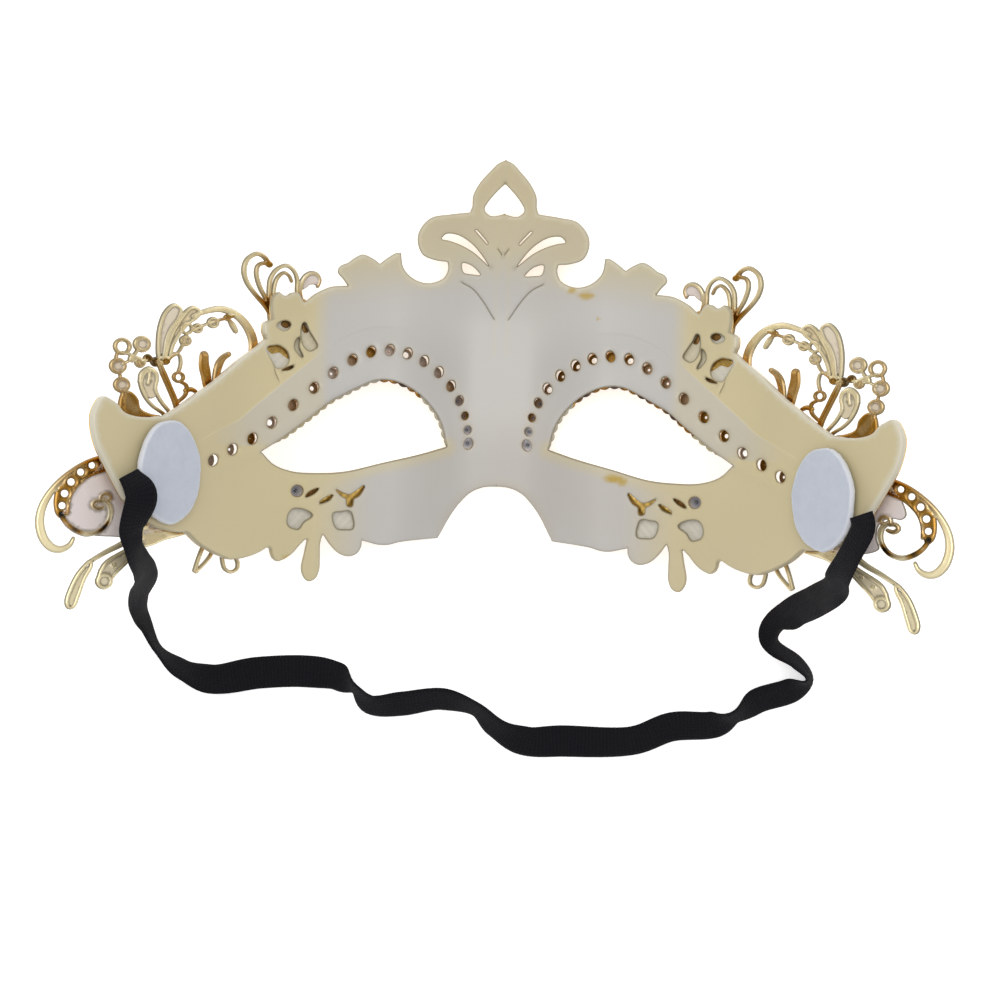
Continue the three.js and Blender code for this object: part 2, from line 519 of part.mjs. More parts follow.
for (const [word, side, padY] of [["left", -1, -23.1], ["right", 1, -25.1]]) {
  const wingSheet = giltSheet(side, [56, 66, 80, 94, 112], [-62, 0, 20]);
  const wing = [plate(wingPlate), ...upperSpray(), ...sideCurl(side), ...lowerLeaves()];
  addPiece(`gilt_wing_${word}`, cutFrom(wingSheet, wing, side), gilt);
  const sprigSheet = giltSheet(side, [44, 50, 56, 65], [6, 14, 22, 34]);
  addPiece(`brow_sprig_${word}`, cutFrom(sprigSheet, browSprig(), side), gilt);
  const disc = new THREE.CylinderGeometry(1, 1, padThickness, padSides).scale(padAcross, 1, padTall);
  const pad = addPiece(`felt_pad_${word}`, disc, felt);
  const padOffset = shellThickness / 2 + jointGap + padThickness / 2 + padLift / 2;
  const padTilt = -side * Math.asin(padLift / (2 * padAcross));
  seatOnShell(pad, side * 80.9, padY, padOffset, 1, padTilt);
  const stoneOffset = shellThickness / 2 + stoneGap;
  eyeStoneSeats.forEach(([u, y], i) => {
    const number = String(i + 1).padStart(2, "0");
    const stone = addPiece(`eye_stone_${word}_${number}`, stoneGeometry(stoneRadius), crystal);
    seatOnShell(stone, side * u, y, stoneOffset, -1);
  });
  const cheekStone = addPiece(`cheek_stone_${word}`, stoneGeometry(cheekStoneRadius), crystal);
  seatOnShell(cheekStone, side * cheekStoneSeat[0], cheekStoneSeat[1], stoneOffset, -1);
}

// The mask without its elastic is centred over the origin and rests on the plane Z = 0
const extent = new THREE.Box3().setFromObject(mask, true);
addPiece("elastic_strap", strapGeometry(), elastic);
mask.position.set(0, -(extent.min.y + extent.max.y) / 2, -extent.min.z);

export default mask;
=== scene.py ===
import json
import math
import random

import bmesh
import bpy
import numpy as np
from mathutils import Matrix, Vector
from mathutils.geometry import delaunay_2d_cdt


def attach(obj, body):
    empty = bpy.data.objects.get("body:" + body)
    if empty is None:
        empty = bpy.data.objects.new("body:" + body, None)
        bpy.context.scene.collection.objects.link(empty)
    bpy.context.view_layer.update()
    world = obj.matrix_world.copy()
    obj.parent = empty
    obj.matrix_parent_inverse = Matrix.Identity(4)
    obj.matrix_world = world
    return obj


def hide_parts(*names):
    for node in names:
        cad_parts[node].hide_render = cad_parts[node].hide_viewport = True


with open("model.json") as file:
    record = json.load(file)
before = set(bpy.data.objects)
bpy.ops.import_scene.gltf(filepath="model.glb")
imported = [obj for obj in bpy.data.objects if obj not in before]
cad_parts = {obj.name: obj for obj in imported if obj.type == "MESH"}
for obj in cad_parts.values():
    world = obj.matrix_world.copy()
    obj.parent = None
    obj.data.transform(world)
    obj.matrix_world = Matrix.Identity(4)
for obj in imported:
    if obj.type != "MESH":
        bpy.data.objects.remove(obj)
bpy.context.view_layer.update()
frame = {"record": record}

mm = 0.001
random.seed(11)

# Outlines are drawn in plan, in mm, as half patterns: u out from the middle line, y up to the crest.
form = {
    "shift": (0.0, -0.17, 0.29),  # from the drawing's origin to the part's own
    "shellThickness": 2.2,
    "giltThickness": 1.2,
    "faceRadius": 91,
    "templeStart": 68,  # the bend round the face ends here and the temple runs on straight
    "templeRise": 7,
    "templeBlend": (45, 66),  # the nose and cheek profiles fade out here
    "noseBlend": (6, 26),  # the nose profile gives way to the cheek profile here
    "browLine": 15,  # the crest leans above it
    "crestLean": 0.38,
    "leanSoftness": 4,
    "wingStart": 80,  # the sprays leave the shell's bend here
    "wingReach": 30,  # and have their own slope this much further out
    "wingSlope": 0.35,
    "sprayGap": 0.8,  # between the sprays and the shell
    "noseProfile": [(-38, -4.4), (-31, -1.4), (-24, 0.8), (-8, 3), (6, 0.6), (15, 0), (24, 0)],
    "cheekProfile": [(-50, 2), (-35, 5), (-20, 8), (-8, 9), (4, 7.5), (15, 4), (26, 2), (40, 2)],
}


# Camera, floor and light

view = {
    "lens": 200,
    "clipEnd": 50,  # metres
    "place": (1.016, -27.65, 1389.3),  # mm, straight above
    "roll": 1.7,  # degrees
    "floorHalf": 6.0,  # metres
    "floor": {"Base Color": (0.9, 0.9, 0.9, 1), "Roughness": 0.9, "Emission Color": (1, 1, 1, 1),
              "Emission Strength": 0.5},
    "lamp": 23,  # watts
    "lampSize": 2.2,
    "lampPlace": (-0.1, 0.5, 1.9),
    "sky": [(0.0, (0.5, 0.5, 0.5)), (0.12, (0.34, 0.34, 0.35)), (0.5, (0.5, 0.5, 0.52)), (0.8, (1, 1, 1))],
    "skyStrength": 0.9,
}


def addCamera():
    data = bpy.data.cameras.new("camera")
    data.lens = view["lens"]
    data.clip_end = view["clipEnd"]
    camera = bpy.data.objects.new("camera", data)
    camera.location = [v * mm for v in view["place"]]
    camera.rotation_euler = (0, 0, math.radians(view["roll"]))
    bpy.context.collection.objects.link(camera)
    bpy.context.scene.camera = camera


# Curves and distances in plan

batch = 1500  # spots measured at a time, which spares memory


def ease(start, end, value):
    t = np.clip((value - start) / (end - start), 0, 1)
    return t * t * (3 - 2 * t)


def unit(vectors):
    return vectors / np.maximum(np.linalg.norm(vectors, axis=-1, keepdims=True), 1e-9)


def curveShares(t):
    # shares of a span's start, its slope there, its end and its slope there
    return 2 * t**3 - 3 * t**2 + 1, t**3 - 2 * t**2 + t, 3 * t**2 - 2 * t**3, t**3 - t**2


def splineSamples(knots, closed=False, perSpan=16):
    # centripetal curve through the knots, perSpan samples to a span
    knots = np.array(knots, float)
    if closed:
        padded = np.vstack([knots[-1:], knots, knots[:2]])
    else:
        padded = np.vstack([2 * knots[:1] - knots[1:2], knots, 2 * knots[-1:] - knots[-2:-1]])
    start, leaving, end, arriving = curveShares((np.arange(perSpan) / perSpan)[:, None])
    spans = []
    for a, b, c, d in zip(padded, padded[1:], padded[2:], padded[3:]):
        first, span, last = (max(np.linalg.norm(q - p), 1e-6) ** 0.5 for p, q in ((a, b), (b, c), (c, d)))
        leave = ((b - a) / first - (c - a) / (first + span) + (c - b) / span) * span
        arrive = ((c - b) / span - (d - b) / (span + last) + (d - c) / last) * span
        spans.append(start * b + leaving * leave + end * c + arriving * arrive)
    spans.append(knots[:1] if closed else knots[-1:])
    return np.vstack(spans)


def lengths(line):
    steps = np.linalg.norm(np.diff(line, axis=0), axis=1)
    return np.concatenate([[0], np.cumsum(steps)])


def evenly(line, step, *values):
    # the line resampled at an even step, and any values given along it
    along = lengths(line)
    count = max(2, round(along[-1] / step))
    places = np.linspace(0, along[-1], count + 1)
    made = np.stack([np.interp(places, along, column) for column in line.T], 1)
    return (made, *(np.interp(places, along, value) for value in values)) if values else made


def smoothLine(points, step=0.45, closed=False):
    line = evenly(splineSamples(points, closed), step)
    return line[:-1] if closed else line


def joinRuns(runs):
    return np.vstack([smoothLine(run)[:-1] for run in runs])


def headings(line, closed=False):
    return unit(np.roll(line, -1, 0) - np.roll(line, 1, 0)) if closed else unit(np.gradient(line, axis=0))


def leftOf(heading):
    return np.stack([-heading[:, 1], heading[:, 0]], 1)


def beside(line, distance, closed=True):
    # the line moved over to its left
    return line + leftOf(headings(line, closed)) * distance


def circleSteps(count, turn=0.0):
    # cosines and sines at even steps round a circle
    angles = (np.arange(count) + turn) * 2 * np.pi / count
    return np.cos(angles), np.sin(angles)


def turnsLeft(ring):
    x, y = ring.T
    return (x * np.roll(y, -1) - np.roll(x, -1) * y).sum() > 0


def counterClockwise(ring):
    return ring if turnsLeft(ring) else ring[::-1]


def segmentDistance(spots, starts, ends):
    run = ends - starts
    size = np.maximum((run**2).sum(1), 1e-12)
    nearest = np.empty(len(spots))
    for first in range(0, len(spots), batch):
        part = spots[first:first + batch, None, :]
        t = np.clip(((part - starts) * run).sum(2) / size, 0, 1)
        nearest[first:first + batch] = np.sqrt(((starts + t[..., None] * run - part) ** 2).sum(2)).min(1)
    return nearest


def lineDistance(spots, line):
    return segmentDistance(spots, line[:-1], line[1:])


def ringDistance(spots, ring):
    return segmentDistance(spots, ring, np.roll(ring, -1, 0))


def ridges(spots, lines, width):
    # 1 on the lines, falling away to both sides
    heights = [np.exp(-((lineDistance(spots, line) / width) ** 2)) for line in lines]
    return np.max(heights, axis=0)


def insideRing(spots, ring):
    x, y = spots.T
    (ax, ay), (bx, by) = ring.T, np.roll(ring, -1, 0).T
    crosses = (ay > y[:, None]) != (by > y[:, None])
    cut = ax + (y[:, None] - ay) * (bx - ax) / np.where(by == ay, 1e-9, by - ay)
    return (crosses & (x[:, None] < cut)).sum(1) % 2 == 1


def hexGrid(low, high, spacing):
    rows = []
    for k, y in enumerate(np.arange(low[1], high[1], spacing * 0.866)):
        x = np.arange(low[0] + spacing / 2 * (k % 2), high[0], spacing)
        rows.append(np.column_stack([x, np.full(len(x), y)]))
    return np.vstack(rows)


# Form of the face

def profileAt(knots, y):
    # depth at y, from a smooth line through the knots of height and depth
    heights, depths = np.array(knots, float).T
    last = len(heights) - 1
    order = np.arange(last + 1)
    after, before = np.minimum(order + 1, last), np.maximum(order - 1, 0)
    slopes = (depths[after] - depths[before]) / (heights[after] - heights[before])
    i = np.clip(np.searchsorted(heights, y) - 1, 0, last - 1)
    span = heights[i + 1] - heights[i]
    start, leaving, end, arriving = curveShares(np.clip((y - heights[i]) / span, 0, 1))
    inside = (start * depths[i] + leaving * span * slopes[i]
              + end * depths[i + 1] + arriving * span * slopes[i + 1])
    below = slopes[0] * np.minimum(y - heights[0], 0)
    above = slopes[last] * np.maximum(y - heights[last], 0)
    return inside + below + above


templeSlope = math.tan(math.asin(form["templeStart"] / form["faceRadius"]))


def shellHeight(x, y):
    # the middle of the shell's thickness
    u = np.abs(x)
    radius, start, softness = form["faceRadius"], form["templeStart"], form["leanSoftness"]
    bend = radius - np.sqrt(radius**2 - np.minimum(u, start) ** 2)
    bend = bend + np.maximum(u - start, 0) * templeSlope
    outwards = ease(*form["noseBlend"], u)
    lean = np.hypot(softness, form["crestLean"] * np.maximum(0, y - form["browLine"])) - softness
    nose, cheek = profileAt(form["noseProfile"], y), profileAt(form["cheekProfile"], y)
    face = nose * (1 - outwards) + cheek * outwards + lean
    temple = ease(*form["templeBlend"], u)
    return form["shellThickness"] / 2 + bend + face * (1 - temple) + form["templeRise"] * temple


def steepness(height, x, y):
    # square to the surface, with 1 upwards
    step = 0.01
    along = (height(x + step, y) - height(x - step, y)) / (2 * step)
    up = (height(x, y + step) - height(x, y - step)) / (2 * step)
    return np.stack([-along, -up, np.ones_like(along)], -1)


def underShell(x, y, deep):
    return shellHeight(x, y) - deep * np.linalg.norm(steepness(shellHeight, x, y), axis=-1)


def sprayHeight(x, y):
    u = np.abs(x)
    deep = form["shellThickness"] / 2 + form["sprayGap"] + form["giltThickness"] / 2
    under = underShell(np.minimum(u, form["wingStart"]), y, deep)
    past = np.maximum(0, u - form["wingStart"])
    flare = np.minimum(past, form["wingReach"])
    bent = templeSlope * flare - (templeSlope - form["wingSlope"]) * flare**2 / (2 * form["wingReach"])
    return under + bent + form["wingSlope"] * (past - flare)


# Materials

class Signal:
    # a node socket that arithmetic works on
    def __init__(self, tree, socket=None):
        self.tree = tree
        self.socket = socket

    def node(self, kind, settings=None, values=None, out=0):
        made = self.tree.nodes.new("ShaderNode" + kind)
        for key, value in (settings or {}).items():
            if key == "stops":
                ramp = made.color_ramp
                for i, (place, colour) in enumerate(value):
                    element = ramp.elements[i] if i < 2 else ramp.elements.new(place)
                    element.position = place
                    element.color = (*colour, 1)
            else:
                setattr(made, key, value)
        for key, value in (values or {}).items():
            if isinstance(value, Signal):
                self.tree.links.new(value.socket, made.inputs[key])
            else:
                made.inputs[key].default_value = value
        return Signal(self.tree, made.outputs[out])

    def math(self, operation, first, second=0.0):
        return self.node("Math", {"operation": operation}, {0: first, 1: second})

    def __add__(self, other):
        return self.math("ADD", self, other)

    def __sub__(self, other):
        return self.math("SUBTRACT", self, other)

    def __rsub__(self, other):
        return self.math("SUBTRACT", other, self)

    def __mul__(self, other):
        return self.math("MULTIPLY", self, other)

    __radd__ = __add__
    __rmul__ = __mul__

    def blend(self, low, high):
        # self is the share of the second colour
        ends = [(*c, 1) if isinstance(c, tuple) else c for c in (low, high)]
        return self.node("Mix", {"data_type": "RGBA"}, {0: self, 6: ends[0], 7: ends[1]}, out=2)


def startMaterial(name, fixed):
    material = bpy.data.materials.new(name)
    material.use_nodes = True
    tree = material.node_tree
    shader = next(n for n in tree.nodes if n.type == "BSDF_PRINCIPLED")
    for key, value in fixed.items():
        shader.inputs[key].default_value = value
    return material, Signal(tree), shader


def feed(signal, shader, name):
    signal.tree.links.new(signal.socket, shader.inputs[name])


def feedRelief(height, shader, strength, depth):
    bump = height.node("Bump", {}, {"Strength": strength, "Distance": depth, "Height": height})
    feed(bump, shader, "Normal")


def clamped(signal):
    return signal.node("Clamp", {}, {"Value": signal})


def attribute(start, name):
    return start.node("Attribute", {"attribute_name": name}, out="Fac")


def noise(start, scale, detail=2.0, roughness=0.5):
    values = {"Vector": start.node("TexCoord", out="Object"), "Scale": scale, "Detail": detail,
              "Roughness": roughness}
    return start.node("TexNoise", {}, values)


ivoryLook = {
    "fixed": {"IOR": 1.46, "Coat Weight": 0.05, "Coat Roughness": 0.3},
    "cream": (0.55, 0.475, 0.285),  # under the others, which lie over it in this order
    "grey": (0.47, 0.455, 0.43),
    "blotch": (0.45, 0.36, 0.27),
    # a pale tint: painted highlight on the temple walls and along the crest's upper edge, and the plain
    # plastic of the leaves
    "wall": (0.60, 0.565, 0.46),
    # mostly painted shade along the edges, in the grooves and round the openings
    "line": (0.21, 0.175, 0.10),
    "stain": (0.42, 0.28, 0.035),
    "cloudShare": 0.5,
    "mottleShare": 0.12,
    "roughness": 0.35,  # at least
    "roughSpread": 0.14,
    "grain": 0.05,
}


def ivoryMaterial():
    look = ivoryLook
    material, start, shader = startMaterial("ivory moulding", look["fixed"])
    mottle = noise(start, 60, 3)
    cloud = noise(start, 22, 2)
    colour = attribute(start, "grey").blend(look["cream"], look["grey"])
    blotches = (cloud - 0.42) * look["cloudShare"] + (mottle - 0.5) * look["mottleShare"]
    colour = blotches.blend(colour, look["blotch"])
    # line lays on painted shade, wall a pale tint that is mostly painted highlight, stain the warm tint and
    # the gold overspray
    for name in ("wall", "line", "stain"):
        colour = attribute(start, name).blend(colour, look[name])
    feed(colour, shader, "Base Color")
    feed(mottle * look["roughSpread"] + look["roughness"], shader, "Roughness")
    feedRelief(noise(start, 900, 4, 0.6), shader, look["grain"], 0.0004)
    return material


giltLook = {
    "fixed": {"Coat Weight": 0.25, "Coat Roughness": 0.12},
    "pale": (0.88, 0.77, 0.47),
    "amber": (0.40, 0.19, 0.014),
    "dark": (0.03, 0.022, 0.01),
    "darkFrom": 1.1,  # amber above this goes to dark, near-black spots that are partly painted shadow
    "web": (0.66, 0.585, 0.56),
    # a painted dark outline along the rims and hollows
    "edge": (0.135, 0.115, 0.065),
    "patches": 0.4,
    "roughness": 0.14,  # at least
    "grain": 0.06,
}


def giltMaterial():
    # amber says how dark the gold is, partly its own tone and partly painted dark reflection and shadow;
    # edge is a painted dark outline along the rims and hollows; bare the parts where plain plastic shows
    look = giltLook
    material, start, shader = startMaterial("gilt spray", look["fixed"])
    patch = noise(start, 220, 2)
    amber, edge, bare = (attribute(start, name) for name in ("amber", "edge", "bare"))
    tone = clamped(amber + (patch - 0.5) * look["patches"])
    colour = tone.blend(look["pale"], look["amber"])
    colour = clamped((amber - look["darkFrom"]) * 1.6).blend(colour, look["dark"])
    colour = bare.blend(colour, look["web"])
    colour = (edge * (0.95 - tone * 0.4)).blend(colour, look["edge"])
    feed(colour, shader, "Base Color")
    feed((0.55 + tone * 0.4) * (1 - bare) * (1 - edge * 0.6), shader, "Metallic")
    feed(patch * 0.2 + bare * 0.3 + edge * 0.2 + look["roughness"], shader, "Roughness")
    feedRelief(noise(start, 1400, 3), shader, look["grain"], 0.0003)
    return material


frontLook = {
    "fixed": {"Metallic": 1.0, "Coat Weight": 0.2, "Coat Roughness": 0.15},
    "light": (0.74, 0.50, 0.14),
    "deep": (0.52, 0.30, 0.06),
    "roughness": 0.14,  # at least
    "grain": 0.08,
}


def frontGoldMaterial():
    material, start, shader = startMaterial("gold front", frontLook["fixed"])
    patch = noise(start, 90, 4)
    feed((patch * 0.8).blend(frontLook["light"], frontLook["deep"]), shader, "Base Color")
    feed(patch * 0.2 + frontLook["roughness"], shader, "Roughness")
    feedRelief(noise(start, 1100, 3), shader, frontLook["grain"], 0.0004)
    return material


settingLook = {
    "light": (0.50, 0.27, 0.05),
    "deep": (0.24, 0.10, 0.015),
    "silver": (0.80, 0.79, 0.85),
    "dark": (0.018, 0.018, 0.035),
    "roughness": 0.18,  # at least
}


def settingMaterial():
    material, start, shader = startMaterial("stone setting", {})
    patch = noise(start, 500, 2)
    silver, dark = attribute(start, "silver"), attribute(start, "dark")
    colour = silver.blend(patch.blend(settingLook["light"], settingLook["deep"]), settingLook["silver"])
    feed(dark.blend(colour, settingLook["dark"]), shader, "Base Color")
    feed((1 - dark * 0.6) * (1 - silver * 0.6), shader, "Metallic")
    feed(patch * 0.2 + settingLook["roughness"], shader, "Roughness")
    return material


crystalLook = {
    "Base Color": (0.97, 0.97, 0.98, 1),
    "Roughness": 0.02,
    "IOR": 1.54,
    "Transmission Weight": 1.0,
}


def crystalMaterial():
    return startMaterial("cut crystal", crystalLook)[0]


feltLook = {
    "fixed": {"Roughness": 1.0, "Sheen Weight": 0.35, "Sheen Roughness": 0.5, "Specular IOR Level": 0.2},
    "body": (0.44, 0.475, 0.55),
    "light": (0.56, 0.595, 0.66),
    # painted highlight round the pad's edge
    "rim": (0.68, 0.69, 0.72),
    "fuzz": 0.7,
}


def feltMaterial():
    material, start, shader = startMaterial("felt", feltLook["fixed"])
    cloud = noise(start, 260, 5, 0.65)
    hair = noise(start, 2600, 6, 0.75)
    colour = clamped(cloud * 0.9 + hair * 0.5 - 0.35).blend(feltLook["body"], feltLook["light"])
    # rim lays a painted highlight round the edge
    feed(attribute(start, "rim").blend(colour, feltLook["rim"]), shader, "Base Color")
    feedRelief(cloud * 0.5 + hair * 0.5, shader, feltLook["fuzz"], 0.0004)
    return material


elasticLook = {
    "fixed": {"Roughness": 0.85, "Sheen Weight": 0.015, "Sheen Roughness": 0.6, "Specular IOR Level": 0.14},
    "deep": (0.0028, 0.0026, 0.0042),
    "light": (0.0095, 0.009, 0.0125),
    "stitchLength": 0.9,
    "stitchWidth": 0.8,
    "knit": 0.6,
}


def elasticMaterial():
    # the attributes along and across are in millimetres
    material, start, shader = startMaterial("black elastic", elasticLook["fixed"])
    along = attribute(start, "along") * (2 * math.pi / elasticLook["stitchLength"])
    across = attribute(start, "across") * (2 * math.pi / elasticLook["stitchWidth"])
    knit = start.math("SINE", along + start.math("SINE", across) * 1.4)
    fuzz = noise(start, 1500, 4)
    feed((knit * 0.3 + fuzz * 0.5).blend(elasticLook["deep"], elasticLook["light"]), shader, "Base Color")
    feedRelief(knit * 0.5 + fuzz * 0.4, shader, elasticLook["knit"], 0.00025)
    return material


# Meshes

def addPiece(name, points, faces, materials, node, zones=None, attributes=None, crease=50):
    mesh = bpy.data.meshes.new(name)
    mesh.from_pydata(((np.asarray(points) + form["shift"]) * mm).tolist(), [], faces)
    for material in materials:
        mesh.materials.append(material)
    if zones is not None:
        mesh.polygons.foreach_set("material_index", np.asarray(zones, np.int32))
    for key, values in (attributes or {}).items():
        mesh.attributes.new(key, "FLOAT", "POINT").data.foreach_set("value", np.asarray(values, np.float32))
    if crease:
        mesh.shade_smooth()
        mesh.set_sharp_from_angle(angle=math.radians(crease))
    mesh.validate()
    piece = bpy.data.objects.new(name, mesh)
    bpy.context.collection.objects.link(piece)
    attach(piece, "root")
    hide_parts(node)
    return piece


def triangulate(points, faces, solids):
    # keeps the triangles that lie in one of the first faces and in none of the later ones
    made = delaunay_2d_cdt([Vector(p) for p in points], [], faces, 0, 1e-4, True)
    spots = np.array([tuple(v) for v in made[0]])
    kept = [face for face, source in zip(made[2], made[5]) if source and max(source) < solids]
    used, triangles = np.unique(np.array(kept), return_inverse=True)
    triangles = triangles.reshape(-1, 3)
    spots = spots[used]
    a, b, c = (spots[triangles[:, k]] for k in range(3))
    turned = (b[:, 0] - a[:, 0]) * (c[:, 1] - a[:, 1]) - (b[:, 1] - a[:, 1]) * (c[:, 0] - a[:, 0]) < 0
    triangles[turned] = triangles[turned][:, ::-1]
    return spots, triangles


def ringFaces(rings):
    # the first ring as a face and the others as faces to cut out of it
    faces, first = [], 0
    for ring in rings:
        face = list(range(first, first + len(ring)))
        faces.append(face[::-1] if first else face)
        first += len(ring)
    return faces


def tubeFaces(rows, size):
    # quads between rings of points, and a face over the first ring and the last
    faces = []
    for i in range(rows - 1):
        for j in range(size):
            k = (j + 1) % size
            faces.append([i * size + j, (i + 1) * size + j, (i + 1) * size + k, i * size + k])
    faces.append(list(range(size)))
    faces.append(list(range((rows - 1) * size, rows * size))[::-1])
    return faces


def rimEdges(triangles):
    edges = np.vstack([triangles[:, [0, 1]], triangles[:, [1, 2]], triangles[:, [2, 0]]])
    code = edges.max(1).astype(np.int64) * 10**6 + edges.min(1)
    _, index, counts = np.unique(code, return_index=True, return_counts=True)
    return edges[index[counts == 1]]


def rimDistance(plan, rim):
    return segmentDistance(plan, plan[rim[:, 0]], plan[rim[:, 1]])


def raiseSheet(plan, triangles, rim, half, height, back=0.0, front=0.0, lean=0.5, split=None):
    # A sheet over the height, half its thickness to each side, with relief added at its back and front.
    # Lean 0 raises it straight up, lean 1 square to the surface. Split is the back's share of the wall
    # round the rim; without it the rim ends sharp. Zone 0 is the back, on top here, and zone 1 the front.
    x, y = plan.T
    normal = unit(steepness(height, x, y))
    middle = np.stack([x, y, height(x, y)], 1)
    lean = np.broadcast_to(lean, len(plan))[:, None]
    level, up = normal[:, :2], normal[:, 2:]
    offset = np.hstack([level * lean, up + (1 - lean) * (level**2).sum(1, keepdims=True) / up])
    top = middle + offset * (half + back)[:, None]
    under = middle - offset * (half + front)[:, None]
    count = len(plan)
    points = [top, under]
    low = triangles + count
    walls, wallZones = [], []
    ring = np.unique(rim)
    if split is None:
        shared = np.arange(2 * count)
        shared[ring + count] = ring
        low = shared[low]
    else:
        place = np.full(count, -1)
        place[ring] = 2 * count + np.arange(len(ring))
        points.append(top[ring] * (1 - split) + under[ring] * split)
        a, b = rim.T
        upper = np.stack([a, place[a], place[b], b], 1)
        lower = np.stack([place[a], a + count, b + count, place[b]], 1)
        walls = upper.tolist() + lower.tolist()
        wallZones = [0] * len(upper) + [1] * len(lower)
    faces = triangles.tolist() + low[:, ::-1].tolist() + walls
    zones = [0] * len(triangles) + [1] * len(triangles) + wallZones
    return np.vstack(points), faces, zones


def rounded(away, thickness, fillet):
    # half the thickness at a distance from the rim
    near = np.minimum(away, fillet)
    return thickness / 2 - fillet + np.sqrt(fillet**2 - (fillet - near) ** 2)


def dropUnused(points, faces, values=()):
    used = np.unique(np.concatenate([np.ravel(f) for f in faces]))
    place = np.full(len(points), -1)
    place[used] = np.arange(len(used))
    return points[used], [[int(place[i]) for i in face] for face in faces], [v[used] for v in values]


def mirrored(points, faces):
    return points * (-1, 1, 1), [face[::-1] for face in faces]


def bothHalves(points, faces, zones, values):
    # adds the mirrored half and joins the two along the middle line
    middle = np.abs(points[:, 0]) < 1e-3
    points[middle, 0] = 0
    others, otherFaces = mirrored(points, faces)
    place = np.arange(len(points)) + len(points)
    place[middle] = np.flatnonzero(middle)
    faces = faces + [[int(place[i]) for i in face] for face in otherFaces]
    doubled = [np.concatenate([v, v]) for v in values]
    points, faces, values = dropUnused(np.vstack([points, others]), faces, doubled)
    return points, faces, zones + zones, values


# The moulded shell

shellLook = {
    "fillet": 0.45,
    "spacing": 0.9,  # of the points over the face
    "edgeRows": (0.06, 0.2, 0.45),  # rows of points beside the edges
    "bandStep": 0.22,  # height of the band that carries the stones
    "bandWidth": 5.7,  # from the row of stones to the band's outer edge
    "bandSoftness": 0.16,
    "bandRise": (20, 38),  # it rises out of the surface here, from u to u
    # none of it below this line
    "bandUnder": [(9, -16), (13, -15.5), (30, -20), (57, -18), (70, -24), (74, -30)],
    "bandRows": (-0.35, -0.12, 0.12, 0.35),
    "cheekHole": 1.45,
    "grooveDepth": 0.3,
    "grooveWidth": 0.14,
    "grooveRows": (-0.34, -0.14, 0, 0.14, 0.34),
    "scrollHeight": 0.42,
    "scrollWidth": 0.55,
    "scrollRows": (-0.7, 0, 0.7),
    "frontRim": 0.3,  # how far the front lies below its rims
    "frontSlope": (0.9, 1.5),  # where it goes down from them
    "seatLevel": 0.02,  # the front round the stones lies this much below
    "seatWidth": 2.4,
    "crestNarrowing": 0.22,
    "lean": 0.3,  # how far the walls of the openings lean with the surface
    "split": 0.86,  # share of the wall that is ivory
}

outlineRuns = [  # smooth runs of the outer edge with corners between them, from the crest's tip to the nose
    [(0, 56.8), (1.9, 55.9), (3.6, 54.2), (6.3, 51.1), (7.9, 48), (8.1, 45.2), (8.6, 43.8)],
    [(8.6, 43.8), (13.6, 43.1), (18.3, 42), (21.1, 38.6), (21.3, 35.5), (19.9, 32.8), (16.9, 31.6),
     (13.8, 31.3)],
    [(13.8, 31.3), (13.7, 29.6), (14.8, 27.4), (18.6, 26), (22.3, 27), (24.6, 29.4), (25.3, 33.1)],
    [(25.3, 33.1), (26.4, 33.2), (28.6, 31.9), (30.6, 30.3)],
    [(30.6, 30.3), (32.3, 31.5), (34.8, 32.4), (36.9, 31.4), (38.3, 30.3), (40.4, 29.2), (40.9, 27.7),
     (39.5, 26), (38.4, 24.5)],
    [(38.4, 24.5), (42.2, 24.1), (44.2, 23.3), (46.7, 21.8), (48.7, 19.9)],
    [(48.7, 19.9), (50, 22), (52.2, 22), (53.3, 21.2)],
    [(53.3, 21.2), (55, 22), (57, 20.6), (57.3, 17.9), (56.9, 15.4)],
    [(56.9, 15.4), (58.8, 14), (59, 12), (58.4, 10.4)],
    [(58.4, 10.4), (60, 8.6), (64.6, 4.7), (70.2, -0.7), (75.3, -5), (78, -7.2), (81.3, -9.6)],
    [(81.3, -9.6), (85.5, -10.1), (88.9, -9.1), (90.7, -7.1), (92.4, -6), (94, -5.5), (95.6, -6.1),
     (97.2, -9.2), (97.4, -11.9), (97, -14.6), (96.1, -17.8), (95.1, -20), (93.6, -22.9), (92.2, -25.6),
     (90.1, -29.5), (87.3, -33), (83.7, -35.8), (79.4, -37.3), (75.5, -37.7)],
    [(75.5, -37.7), (72.8, -40.3), (69.9, -42.1), (67.5, -43.2), (65.3, -43.9), (62.6, -43.8),
     (59.7, -43.1), (57.5, -42.1), (55.7, -40.9)],
    [(55.7, -40.9), (55.5, -42.2), (54.8, -43.5), (53.4, -44.2), (51.7, -43.7), (49.6, -42.1), (47.9, -40),
     (46.5, -38.5)],
    [(46.5, -38.5), (47.1, -41.7), (47.8, -45.5), (47.5, -47.3), (46.5, -48.7), (45.4, -49), (44, -48.3),
     (43.1, -46.2), (43, -42.9), (43, -39.6), (42.5, -37.4)],
    [(42.5, -37.4), (41, -39.6), (38.7, -41.8), (35.9, -42.6), (34, -41.8), (33, -40.1), (32.9, -38.6)],
    [(32.9, -38.6), (31.5, -38.9), (29, -39.5), (26.5, -39.5), (23.5, -38.7), (19.5, -38.1), (14.2, -37.5)],
    [(14.2, -37.5), (12.9, -35), (11.2, -31.8), (9, -28.6), (6.2, -25.8), (3.2, -24.5), (0, -24.2)],
]
